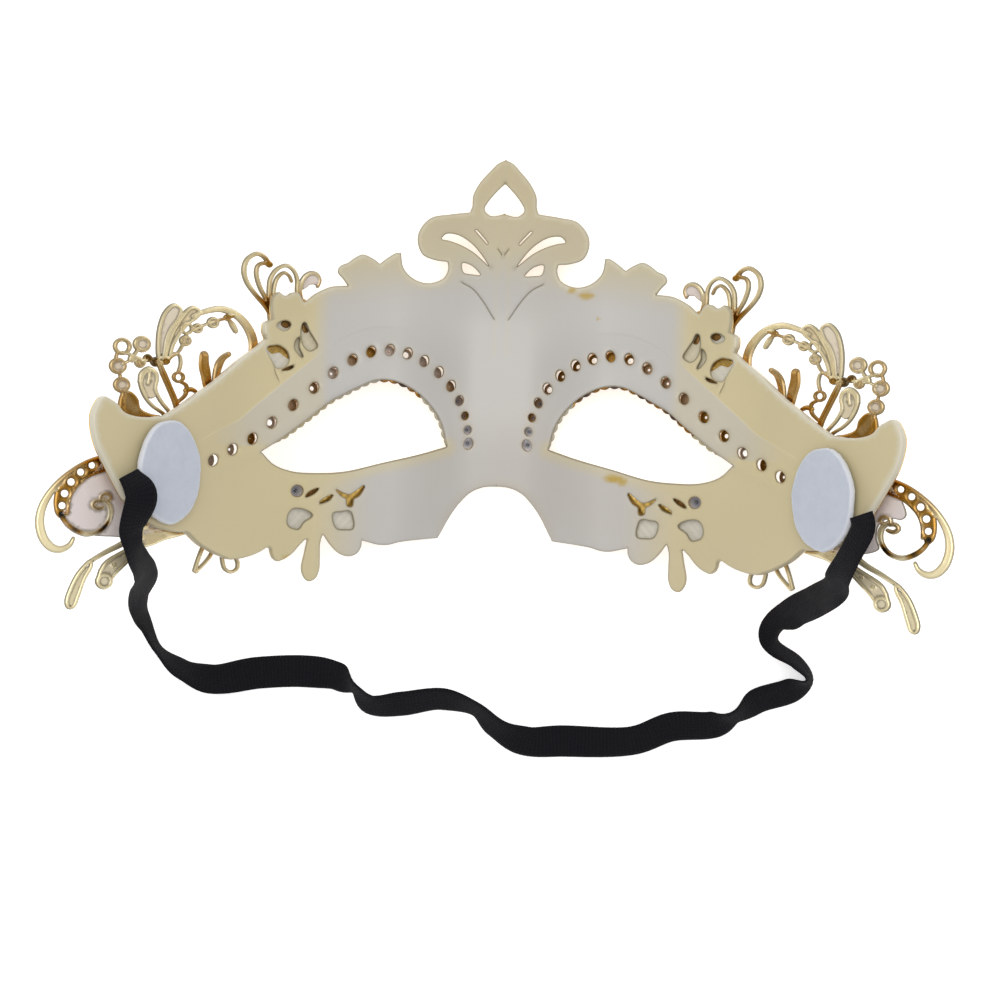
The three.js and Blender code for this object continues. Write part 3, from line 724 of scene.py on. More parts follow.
# the hole in the crest's tip, and the upper and lower edge of the eye
crestEye = [(0, 43.7), (1.4, 43.3), (3.3, 43.1), (4.9, 44.5), (4.2, 46.1), (2.2, 48.6), (0, 50.8)]
eyeUpper = [(57.6, -17.4), (54.9, -15.5), (50.7, -12.3), (45.6, -8.1), (41.4, -4.5), (38, -2.5),
            (34.6, -0.6), (30.7, 1.1), (26.7, 1.2), (22.7, -0.2), (19.1, -2.7), (16, -6.1), (14.1, -9.6),
            (12.9, -14.6)]
eyeLower = [(12.9, -14.6), (20.1, -16.9), (28.8, -19.2), (37.5, -21.5), (44, -22.1), (50.4, -21.9),
            (54.7, -20.3), (57.6, -17.4)]
openings = {  # closed smooth outlines
    "crestCrescent": [(15.5, 36.9), (14.3, 38.3), (11.4, 38.2), (8.5, 36.7), (5.9, 34.3), (3.3, 30.5),
                      (7.6, 33.9), (10.9, 35.6), (13.4, 36.4)],
    "crestSlot": [(7.3, 39.5), (6.8, 39.6), (5.2, 38.1), (3.7, 36.2), (3.9, 35.9), (5.7, 37.6)],
    "crestCorner": [(10.2, 31.3), (7.7, 30.8), (5.4, 28.4), (7.6, 28.4), (9.9, 28.9)],
    "palmetteLozenge": [(54.9, 13.6), (53.4, 14.9), (52, 14.2), (53, 12.6)],
    "palmetteDrop": [(48.6, 14.7), (47.5, 12.6), (46.4, 10.9), (45.4, 8.9), (46.8, 7.9), (48.2, 9),
                     (49, 11.9)],
    "palmetteHook": [(49.7, 10.9), (49.8, 8.6), (48.7, 6.2), (50.4, 8.4), (50.2, 10.2)],
    "palmetteOval": [(57, 8), (55, 8.7), (52.7, 7.5), (52, 5.8), (52.5, 4.1), (54.4, 3.2), (55.9, 5.4)],
    "palmetteSpot": [(54.1, 14), (53.5, 15), (52.2, 14.7), (51.9, 13.8), (52.9, 13.2)],
    "palmetteTip": [(48.7, 14.7), (47.9, 13.6), (47.5, 12.5), (48.4, 12.3), (49, 13.4)],
    "palmetteMoon": [(57, 8.1), (55, 8.9), (52.7, 7.7), (51.9, 5.6), (53, 6.3), (54.4, 7.1), (56, 6.7)],
    "palmetteDash": [(53.3, 2.7), (52, 3.6), (50.8, 3.9), (51.8, 2.9)],
    "cheekShield": [(39.9, -32), (38, -31.6), (36.2, -31.4), (35.5, -32.8), (35.4, -35.5), (37.3, -35.8),
                    (39.1, -35.6), (40, -33.7)],
    "cheekFork": [(39.4, -26.2), (37.6, -27), (36.2, -27.3), (34.6, -26.4), (32.7, -24.9), (33.8, -27.2),
                  (35.4, -28.4), (35.7, -30), (36.6, -30), (36.9, -28.4), (38.2, -27.6)],
    "cheekKite": [(49.8, -31.3), (46.9, -31.4), (45.4, -32.6), (47.4, -34.2), (48.8, -36), (50.7, -35.3),
                  (50.9, -33)],
    "cheekDash": [(43.4, -29.5), (42.6, -28.6), (40.4, -27.4), (41.2, -28.6)],
    "cheekNick": [(46.9, -28.1), (46, -26.9), (43.9, -25.9), (45, -27.2)],
}
stones = {
    "seats": [(7.3, -13.7), (7.6, -10.3), (8.4, -6.8), (9.9, -3.1), (12.1, 0.5), (15.2, 3.8), (18.9, 6.4),
              (23, 8.1), (27.4, 8.8), (32, 8.2), (36.5, 6), (41.1, 2.6), (45.6, -1.3), (50.5, -5.7),
              (55.5, -10.2), (60, -14.3), (64.6, -17.1), (69, -19.9)],
    "holeHeading": (-0.33, 1),  # the long way of the oval holes
    "holes": [(1.1, 1.4), (0.9, 1.05), (0.9, 1.05), (1.0, 1.3)],  # half sizes of the first four
    "restHole": (1.1, 1.45),  # and of the others
    "radius": 1.5,
    "cheekRadius": 2.2,
    "cheekSeat": (49, -26.7),
    "gap": 0.5,  # between the shell's front and the setting
    "rise": 0.26,  # of the stone out of its setting, in radii
    "shut": 0.03,  # open share of the setting's back on the first four and the cheek
    "windows": (0.03, 0.22, 0.36, 0.5),  # and on the others, by seed
    "silvery": 0.9,  # how silver the settings of the first two are
    "silvers": (0, 0, 0, 0.15, 0.4),  # and of the others, by seed
    "cheekSilver": 0.95,
    "darkReach": 0.3,  # of the dark middle that some of them have, in radii
    "flanges": (1.22, 1.42),  # reach of the settings in radii, on the first seven and on the others
}
grooves = [  # scribed lines on the back
    [(10, 26.4), (7.3, 24.9), (4.8, 22.1), (1.9, 17.7)],
    [(1.2, 34.8), (0.4, 33.6), (0, 32.2)],
    [(55.7, 5.4), (55.2, 2.6), (54.3, 0.4)],
]
scrolls = [  # raised lines on the gold front
    [(2, 24), (4.4, 29), (10.4, 33.6), (16.6, 34.4), (18.6, 37), (16.4, 39.6), (12.6, 40.6)],
    [(12, 22), (18, 21), (25, 23.4), (29, 27), (27, 29.4), (24, 27.4)],
    [(24, 18), (31, 20), (37, 24), (39, 28), (36, 30), (33, 28)],
    [(40, 14.4), (45, 14), (47, 17), (45, 20), (42.4, 18.6)],
    [(56, -2), (63, -6), (70, -12), (74, -19), (71, -25), (66, -24.6), (66.4, -20.6)],
    [(60, -24), (62, -31), (68, -36), (73, -34), (71.6, -30.4)],
    [(18, -21), (24, -26), (31, -28), (33, -32), (29, -35), (25.6, -32.6)],
    [(84, -13), (90, -12), (92, -18), (89, -25), (84, -30)],
    [(44.6, -38), (45.4, -46)],
    [(52, -28), (57, -31), (58, -37), (54, -39.6)],
]
# gold paint gone over the edge: x, y, size
overspray = [(17.2, 25.2, 1.8), (21, 23.9, 2.8), (23.7, 18.3, 1.1), (29, -21.4, 3.4), (31, -22.3, 2),
             (-49.6, -43.4, 3)]
backTones = {  # pairs say where a change begins and ends, single numbers how strong it is
    "greyBelow": (29, 47),  # outwards below the eyes, where the grey goes over to cream
    "greyAbove": (41.5, 47.5),  # outwards above them
    "browRise": (-14, -2),
    "crestRise": (22, 36),
    "crestCream": 0.7,
    "bandGrey": 0.6,
    "bandFade": (58, 72),
    "bandBottom": -16,
    "eyeCream": 0.65,  # under the eyes
    "eyeReach": (0.8, 3.6),
    "edgeCream": 0.55,  # along the upper outline
    "edgeReach": (0.3, 2.4),
    "edgeBottom": 8,
    "templeStart": (56, 59),
    "templeBottom": -30,
    # painted shade and dark reflection along the outer edges
    "outline": 0.55,
    "outlineShadeReach": (0.05, 0.42),
    # painted shade in the scribed grooves
    "scribed": 0.75,
    # painted shade round the stone holes
    "holes": 0.6,
    "holeShadeReach": (0.02, 0.3),
    "fret": 0.9,  # painted shade along the edges round the fretwork and the eye's lower edge
    "fretShadeReach": (0.05, 0.5),
    "fretBoxes": [(31, 53, -37, -28.5), (43, 58, 1, 15.3)],  # low x, high x, low y, high y
    "paleBox": (51.4, 99, 1, 99),
    # painted shadow round the palmette's drop
    "dropShadowBox": (45, 49.4, 7, 15.2),
    "dropShadowReach": (0.08, 0.42),
    # a little darker towards the middle line
    "middle": 0.06,
    "middleReach": (8, 22),
    "seat": 2.2,  # radius of what lies round a stone
    "warm": 0.22,  # round the stones and up the crest
    "warmReach": (1.2, 2.4),
    "warmRise": (30, 54),
    "noseWarm": 0.12,
    "noseReach": (0.8, 3),
    "pale": 0.85,  # painted highlight on the walls of the temples and the rims beside them
    "highlightReach": (0.25, 0.8),
    "highlightBottom": -34,
    # painted highlight along the crest's upper outline
    "crestPale": 0.5,
    "crestPaleRise": (12, 18),
    "crestPaleReach": (0.5, 1.1),
}
trim = {  # scallops past the eye's upper edge
    "pitch": 2.35,
    "lobe": 0.5,
    "fullness": 0.8,
    "least": 0.1,
    "fade": 3,
    "root": 1.1,
}
# what closes the openings at the front
leaves = [
    ("cheekFork", "gold"), ("cheekDash", "gold"), ("palmetteLozenge", "plain"), ("palmetteSpot", "dark"),
    ("palmetteTip", "dark"), ("cheekNick", "dark"), ("palmetteDash", "dark"), ("palmetteOval", "plain"),
    ("palmetteMoon", "gold"), ("palmetteDrop", "peach"), ("palmetteHook", "peach"),
    ("cheekShield", "plain"), ("cheekKite", "plain"),
]
inserts = ("palmetteSpot", "palmetteTip", "palmetteMoon")  # these lie inside another opening
leafKinds = {  # material, how dark its setting colour is, and shares of grey, wall, line and stain
    "gold": (1, 0, (0, 0, 0, 0)),
    "dark": (2, 0.35, (0, 0, 0, 0)),
    "plain": (0, 0, (1, 0.75, 0, 0)),
    "peach": (0, 0, (0, 0.75, 0, 0.13)),
    "trim": (0, 0.45, (0, 0, 0.35, 0)),
}
leafLook = {
    "spacing": 0.5,
    "edgeRows": (0.12, 0.3),
    "grow": 0.5,  # past the edge of the opening
    "swell": 0.12,
    "leaf": (0.62, 0.35),  # depth below the shell's middle, and half the thickness
    "insert": (0.2, 0.35),
    "trim": (0.3, 0.5),
    "trimGold": {1: (18.5, 48), -1: (19.5, 29.5)},  # where the trim is gold and brown, on either side
    "trimGrey": 0.5,
    "trimGreyEnd": 40,
    "trimWaves": 0.4,
}


def ovalAt(centre, heading, across, along, count=20):
    cosines, sines = circleSteps(count)
    heading = unit(np.array(heading, float))
    side = np.array([-heading[1], heading[0]])
    return np.array(centre) + np.outer(cosines * along, heading) + np.outer(sines * across, side)


def stoneHoles():
    sizes = stones["holes"] + [stones["restHole"]] * (len(stones["seats"]) - len(stones["holes"]))
    holes = [ovalAt(seat, stones["holeHeading"], *size) for seat, size in zip(stones["seats"], sizes)]
    return holes + [ovalAt(stones["cheekSeat"], (1, 0), shellLook["cheekHole"], shellLook["cheekHole"], 26)]


def openingRing(name):
    return counterClockwise(smoothLine(openings[name], 0.35, closed=True))


def bandEdge():
    outer = beside(smoothLine(stones["seats"], 0.5), shellLook["bandWidth"], False)
    return outer[outer[:, 0] > 20]


def wallLean(spots, outer):
    # the outer wall of the temples stands square to the surface, the other walls nearly upright
    temple = ease(50, 60, spots[:, 0]) * (1 - ease(2, 7, ringDistance(spots, outer)))
    return shellLook["lean"] + (1 - shellLook["lean"]) * temple


def drawIn(ring, outer):
    # brings a ring in, so that the outermost part of its leaning wall falls on the drawn line
    tilt = unit(steepness(shellHeight, *ring.T))[:, :2]
    outwards = -leftOf(headings(ring, closed=True))
    reach = np.abs((tilt * outwards).sum(1)) * form["shellThickness"] / 2 * wallLean(ring, outer)
    reach[ring[:, 0] < 1e-6] = 0
    return ring - outwards * reach[:, None]


def middleLine(low, high):
    line = np.stack([np.zeros(99), np.linspace(low, high, 99)], 1)
    return evenly(line, shellLook["spacing"])[1:-1]


def shellRings():
    # the outline as drawn, the outline brought in, and the holes
    nose, tip = outlineRuns[-1][-1], outlineRuns[0][0]
    lower, upper = middleLine(nose[1], crestEye[0][1]), middleLine(crestEye[-1][1], tip[1])
    outer, drop = joinRuns(outlineRuns), smoothLine(crestEye)
    outline = counterClockwise(np.vstack([outer, [nose], lower, drop, upper]))
    holes = [joinRuns([eyeUpper, eyeLower])]
    for name in openings:
        if name not in inserts:
            ring = openingRing(name)
            holes.append(beside(ring, shellLook["crestNarrowing"]) if name.startswith("crest") else ring)
    holes = [drawIn(counterClockwise(hole)[::-1], outline) for hole in holes]
    holes += [counterClockwise(hole)[::-1] for hole in stoneHoles()]
    return outline, drawIn(outline, outline), holes


def shellPlan(rings, marked):
    # triangles between the rings, with rows of points beside them and beside the marked lines
    starts, ends = np.vstack(rings), np.vstack([np.roll(ring, -1, 0) for ring in rings])
    real = (np.abs(starts[:, 0]) > 1e-6) | (np.abs(ends[:, 0]) > 1e-6)  # not on the middle line
    starts, ends = starts[real], ends[real]
    loose = []
    for row in shellLook["edgeRows"]:
        spots = np.vstack([beside(ring, row) for ring in rings])
        spots = spots[segmentDistance(spots, starts, ends) > row * 0.9]
        loose.append(spots[spots[:, 0] > 0.3])
    traced = np.vstack([beside(line, row, False) for line, rows, _ in marked for row in rows])
    traced = traced[(segmentDistance(traced, starts, ends) > 0.55) & (traced[:, 0] > 0.3)]
    grid = hexGrid((0.5, -50), (99, 58), shellLook["spacing"])
    keep = segmentDistance(grid, starts, ends) > 0.45 + shellLook["spacing"] * 0.45
    for line, _, clear in marked:
        if clear:
            keep &= lineDistance(grid, line) > clear
    points = np.vstack([*rings, *loose, traced, grid[keep]])
    plan, triangles = triangulate(points, ringFaces(rings), 1)
    rim = rimEdges(triangles)
    return plan, triangles, rim[(np.abs(plan[rim]) > 1e-3)[:, :, 0].any(1)]


def fade(span, value):
    # 1 before the span, 0 after it
    return 1 - ease(*span, value)


def inBox(x, y, box):
    return (x > box[0]) & (x < box[1]) & (y > box[2]) & (y < box[3])


def backShares(plan, away, drawn, toSeat, scribed, onBand):
    # grey in the middle and cream to the sides; painted shade along the edges, in the grooves and round the
    # holes and openings, and a little darker towards the middle line; stain; and a painted highlight on the
    # temple walls and the crest's upper edge
    tones = backTones
    x, y = plan.T
    toEyeLow = lineDistance(plan, smoothLine(eyeLower, 0.6))
    toOutline = ringDistance(plan, drawn) + 9 * (x < 1)
    temple = ease(*tones["templeStart"], x)
    offSeat = toSeat > tones["seat"]

    low, high = fade(tones["greyBelow"], x), fade(tones["greyAbove"], x)
    grey = low + (high - low) * ease(*tones["browRise"], y)
    grey = grey * (1 - tones["crestCream"] * ease(*tones["crestRise"], y - 0.15 * (12 - x)))
    band = onBand * fade(tones["bandFade"], x) * (y > tones["bandBottom"])
    grey = np.maximum(grey, tones["bandGrey"] * band)
    grey = grey * (1 - tones["eyeCream"] * fade(tones["eyeReach"], toEyeLow))
    upperEdge = fade(tones["edgeReach"], toOutline) * (y > tones["edgeBottom"])
    grey = grey * (1 - tones["edgeCream"] * upperEdge)

    cheekFret, palmette = (inBox(x, y, box) for box in tones["fretBoxes"])
    fret = (cheekFret | palmette | (toEyeLow < 0.9)) * (1 - 0.55 * inBox(x, y, tones["paleBox"]))
    offTemple = 1 - temple * (y > tones["templeBottom"])
    line = np.max([
        tones["outline"] * fade(tones["outlineShadeReach"], away) * offTemple * offSeat,
        tones["scribed"] * scribed,
        tones["holes"] * fade(tones["holeShadeReach"], away) * (toSeat < tones["seat"]),
        tones["fret"] * fade(tones["fretShadeReach"], away) * fret,
        fade(tones["dropShadowReach"], away) * inBox(x, y, tones["dropShadowBox"]),
        tones["middle"] * fade(tones["middleReach"], x),
    ], axis=0)

    warm = np.max([
        tones["warm"] * fade(tones["warmReach"], toSeat),
        tones["warm"] * ease(*tones["warmRise"], y),
        tones["noseWarm"] * fade(tones["noseReach"], away) * (x < 15) * (y < -20),
    ], axis=0)
    # a painted highlight on the temple walls and along the crest's upper outline
    pale = np.maximum(
        tones["pale"] * temple * fade(tones["highlightReach"], away) * (y > tones["highlightBottom"]) * offSeat,
        tones["crestPale"] * ease(*tones["crestPaleRise"], y) * fade(tones["crestPaleReach"], toOutline))
    return grey, pale, line, warm * 0.6, temple


def frontInlay(ring, deep, half):
    # a thin leaf set into the front of the shell, deep below its middle surface
    ring = counterClockwise(ring)
    spacing = leafLook["spacing"]
    grid = hexGrid(ring.min(0), ring.max(0), spacing)
    grid = grid[insideRing(grid, ring) & (ringDistance(grid, ring) > spacing * 0.6)]
    points = np.vstack([ring, *(beside(ring, row) for row in leafLook["edgeRows"]), grid])
    plan, triangles = triangulate(points, ringFaces([ring]), 1)
    rim = rimEdges(triangles)
    away = rimDistance(plan, rim)
    swell = leafLook["swell"] * np.sin(plan[:, 0] * 3.1) * np.sin(plan[:, 1] * 2.7) * ease(0.1, 0.6, away)
    thick = half * np.sqrt(1 - (1 - np.minimum(away / half, 1)) ** 2)
    middle = lambda x, y: underShell(x, y, deep)
    points, faces, _ = raiseSheet(plan, triangles, rim, thick, middle, swell, -swell)
    return dropUnused(points, faces)[:2]


def leafRing(name):
    ring = openingRing(name)
    return ring if name in inserts else beside(ring, -leafLook["grow"])


def eyeTrim():
    edge = evenly(splineSamples(eyeUpper[1:]), 0.2)
    along = lengths(edge)
    side = leftOf(headings(edge))  # into the opening
    ends = ease(0, trim["fade"], along) * (1 - ease(along[-1] - trim["fade"], along[-1], along))
    reach = trim["least"] + trim["lobe"] * np.abs(np.sin(np.pi * along / trim["pitch"])) ** trim["fullness"]
    return np.vstack([edge + side * (reach * ends)[:, None], (edge - side * trim["root"])[::-1]])


def leafShares(kind, side, points, faces):
    # the material of each face, how dark each point is, and its shares of grey, wall, line and stain
    zone, dark, shares = leafKinds[kind]
    u = points[:, 0]
    zones = np.full(len(faces), zone)
    dark = np.full(len(u), float(dark))
    tint = np.outer(shares, np.ones(len(u)))
    if kind == "trim":
        middles = np.array([u[face].mean() for face in faces])
        start, end = leafLook["trimGold"][side]
        zones[(middles > start) & (middles < end)] = 2
        dark += leafLook["trimWaves"] * np.sin(u * 0.9 + side)
        tint[0] = leafLook["trimGrey"] * (u < leafLook["trimGreyEnd"])
    return zones.tolist(), dark, tint


def buildShell(materials):
    # materials of the back, the front and the darker leaves
    drawn, outline, holes = shellRings()
    grooveLines = [smoothLine(line, 0.35) for line in grooves]
    scrollLines = [smoothLine(line, 0.6) for line in scrolls]
    marked = [(line, shellLook["grooveRows"], 0.6) for line in grooveLines]
    marked += [(line, shellLook["scrollRows"], 0) for line in scrollLines]
    marked.append((bandEdge(), shellLook["bandRows"], 0.6))
    plan, triangles, rim = shellPlan([outline, *holes], marked)
    away = rimDistance(plan, rim)
    x, y = plan.T
    seats = np.array(stones["seats"] + [stones["cheekSeat"]])
    toSeat = np.sqrt(((plan[:, None, :] - seats) ** 2).sum(2)).min(1)

    # the back: a low band that carries the stones, and scribed lines
    width, soft = shellLook["bandWidth"], shellLook["bandSoftness"]
    onBand = 1 - ease(width - soft, width + soft, lineDistance(plan, smoothLine(stones["seats"], 0.6)))
    onBand = onBand * (y >= np.interp(x, *np.transpose(shellLook["bandUnder"])))
    scribed = ridges(plan, grooveLines, shellLook["grooveWidth"])
    back = shellLook["bandStep"] * onBand * ease(*shellLook["bandRise"], x)
    back = back - shellLook["grooveDepth"] * scribed
    # the front: sunk between raised rims, with raised scrolls
    raised = ridges(plan, scrollLines, shellLook["scrollWidth"])
    sunk = ease(*shellLook["frontSlope"], away)
    front = (shellLook["scrollHeight"] * raised - shellLook["frontRim"]) * sunk
    front = np.where(toSeat < shellLook["seatWidth"], -shellLook["seatLevel"], front)

    half = rounded(away, form["shellThickness"], shellLook["fillet"])
    inside = ease(0.15, 0.6, away)
    points, faces, zones = raiseSheet(plan, triangles, rim, half, shellHeight, back * inside,
                                      front * inside, wallLean(plan, drawn), shellLook["split"])
    # line is mostly painted shade, pale a painted highlight on the temple walls and the crest's upper edge
    grey, pale, line, stain, temple = backShares(plan, away, drawn, toSeat, scribed, onBand)
    ring = np.unique(rim)
    # the walls round the rims take painted shade, and on the temples a painted highlight
    wallPart = (grey[ring], temple[ring], line[ring] * 1.1, np.zeros(len(ring)))
    shares = [np.concatenate([v, v, w]) for v, w in zip((grey, pale, line, stain), wallPart)]
    points, faces, zones, shares = bothHalves(points, faces, zones, shares)
    for spotX, spotY, size in overspray:
        gone = np.hypot((points[:, 0] - spotX) / size, (points[:, 1] - spotY) / (size * 0.42))
        shares[3] = np.maximum(shares[3], 0.9 * (1 - ease(0.4, 1, gone)))

    # leaves that show through the fretwork and past the eyes
    parts = []
    for name, kind in leaves:
        parts.append((leafRing(name), leafLook["insert" if name in inserts else "leaf"], kind))
    parts.append((eyeTrim(), leafLook["trim"], "trim"))
    dark = np.zeros(len(points))
    for leafOutline, (deep, thick), kind in parts:
        leafPoints, leafFaces = frontInlay(leafOutline, deep, thick)
        for side in (1, -1):
            placed, turned = (leafPoints, leafFaces) if side > 0 else mirrored(leafPoints, leafFaces)
            leafZones, leafDark, tint = leafShares(kind, side, leafPoints, leafFaces)
            faces += [[i + len(points) for i in face] for face in turned]
            zones += leafZones
            points = np.vstack([points, placed])
            dark = np.concatenate([dark, leafDark])
            shares = [np.concatenate([share, more]) for share, more in zip(shares, tint)]
    named = dict(zip(("grey", "wall", "line", "stain"), shares)) | {"silver": 0 * dark, "dark": dark}
    addPiece("shell", points, faces, materials, "mask_shell", zones, named, crease=45)
    print("shell:", len(faces), "faces")


addCamera()
ivory = ivoryMaterial()
frontGold = frontGoldMaterial()
gilt = giltMaterial()
setting = settingMaterial()
crystal = crystalMaterial()
felt = feltMaterial()
elastic = elasticMaterial()
print("materials made")


# The elastic band

strap = {
    "width": 8.0,
    "thickness": 1.1,
    "ribs": 9,
    "ribDepth": 0.09,
    "edgeFullness": 6,
    "sectionPoints": 46,
    "length": 0.354,  # metres
    "step": 0.8,
}
# listed points of x, y, z and lean; lean turns the band from flat, 0, to on edge, 90 degrees
strapRoute = [
    (-87.5, -23.9, 67.8, -54), (-84.3, -28.8, 67.9, -20), (-86, -35.4, 65.9, -42),
    (-86.5, -38.6, 63.9, -54),
    (-85.8, -42, 62.6, -60), (-84.8, -45.6, 54.6, -60), (-84.7, -48.8, 40, -57), (-87.2, -56, 13.5, -63),
    (-86.3, -60.6, 5.8, -72), (-83.2, -67, 4.6, -80), (-77, -72, 3.9, -55), (-69.6, -74.3, 2.7, -26),
    (-58, -72.4, 1.2, 0), (-46, -71.7, 1.2, 0), (-38, -72.7, 2.7, 28), (-33.9, -75.5, 4.6, 75),
    (-29.6, -79.4, 3.9, 50), (-22, -79, 3.4, 40), (-12, -77.5, 3.7, 46), (-3.4, -79.8, 4.5, 64),
    (1.6, -84.2, 3.9, 50), (9, -87.4, 2.3, 22), (18, -87.2, 1.4, 8), (36, -86.5, 2.4, 24),
    (45.5, -82.8, 2.4, 22), (55.5, -82, 2.9, 30), (61.2, -79.8, 4.5, 66), (66.6, -75.7, 3.2, 36),
    (74.5, -73, 3.2, 36), (79.4, -69.8, 4.6, 78), (76, -65.6, 4.6, 66), (70.6, -62.2, 5.2, 62),
    (69.6, -58.4, 8, 38), (73.8, -53.4, 19, 8), (78.8, -49.8, 34, -10), (82.2, -46.6, 49, -32),
    (83.2, -42.4, 59, -48), (84.9, -38, 64.1, -50), (87.6, -31.2, 67.4, -48), (87, -28.4, 67.3, -50),
]


def bandSection():
    # the section's outline across the width, ribbed on both faces
    half, thick = strap["width"] / 2, strap["thickness"] / 2
    across = half * np.sin(np.linspace(-np.pi / 2, np.pi / 2, strap["sectionPoints"]))
    edge = np.sqrt(np.clip(1 - (np.abs(across) / half) ** strap["edgeFullness"], 0, 1))
    rib = strap["ribDepth"] * (0.5 + 0.5 * np.cos(2 * np.pi * across * strap["ribs"] / strap["width"]))
    up = (thick - rib) * edge
    return np.concatenate([across, across[-2:0:-1]]), np.concatenate([up, -up[-2:0:-1]])


def buildStrap():
    perSpan = 16
    route = np.array(strapRoute, float)
    samples = splineSamples(route[:, :3], perSpan=perSpan)
    t = np.arange(len(samples)) / perSpan
    before = np.minimum(t.astype(int), len(route) - 2)
    lean = route[before, 3] + (route[before + 1, 3] - route[before, 3]) * ease(0, 1, t - before)
    line, lean = evenly(samples, strap["step"], lean)
    heading = headings(line)
    level = unit(np.stack([-heading[:, 1], heading[:, 0], np.zeros(len(line))], 1))
    upright = np.cross(heading, level)
    turn = np.radians(lean)[:, None]
    across = np.cos(turn) * level + np.sin(turn) * upright
    out = np.cross(heading, across)
    sideways, upwards = bandSection()
    rings = line[:, None, :] + across[:, None, :] * sideways[:, None] + out[:, None, :] * upwards[:, None]
    size, count = len(sideways), len(line)
    named = {"along": np.repeat(lengths(line), size), "across": np.tile(sideways, count)}
    points, faces = rings.reshape(-1, 3), tubeFaces(count, size)
    band = addPiece("elastic", points, faces, [elastic], "elastic_strap",
                    attributes=named, crease=60)
    path = (line + form["shift"]) * mm
    print("elastic:", round(float(lengths(line)[-1]), 1), "mm long")


buildStrap()
buildShell([ivory, frontGold, setting])


# The gilt sprays: overlapping strokes, rings, discs and plates that become one piece of metal

giltForm = {
    "strokeRows": (-0.72, -0.4, 0, 0.4, 0.72),  # rows of points along a stroke, in half widths
    "discRows": (0.86, 0.66, 0.36),
    "plateRows": (0.1, 0.3, 0.6),  # rows of points beside a plate's edge
    "hollow": 0.34,  # how far a deep plate is sunk between its strokes
    "dish": 0.2,  # how far the middle of any other wide part is sunk
    # reach of the painted dark outline along the rims
    "paintedOutline": (0.06, 0.34),
    # painted shade where a sunk plate meets its strokes
    "hollowShade": 0.9,
}


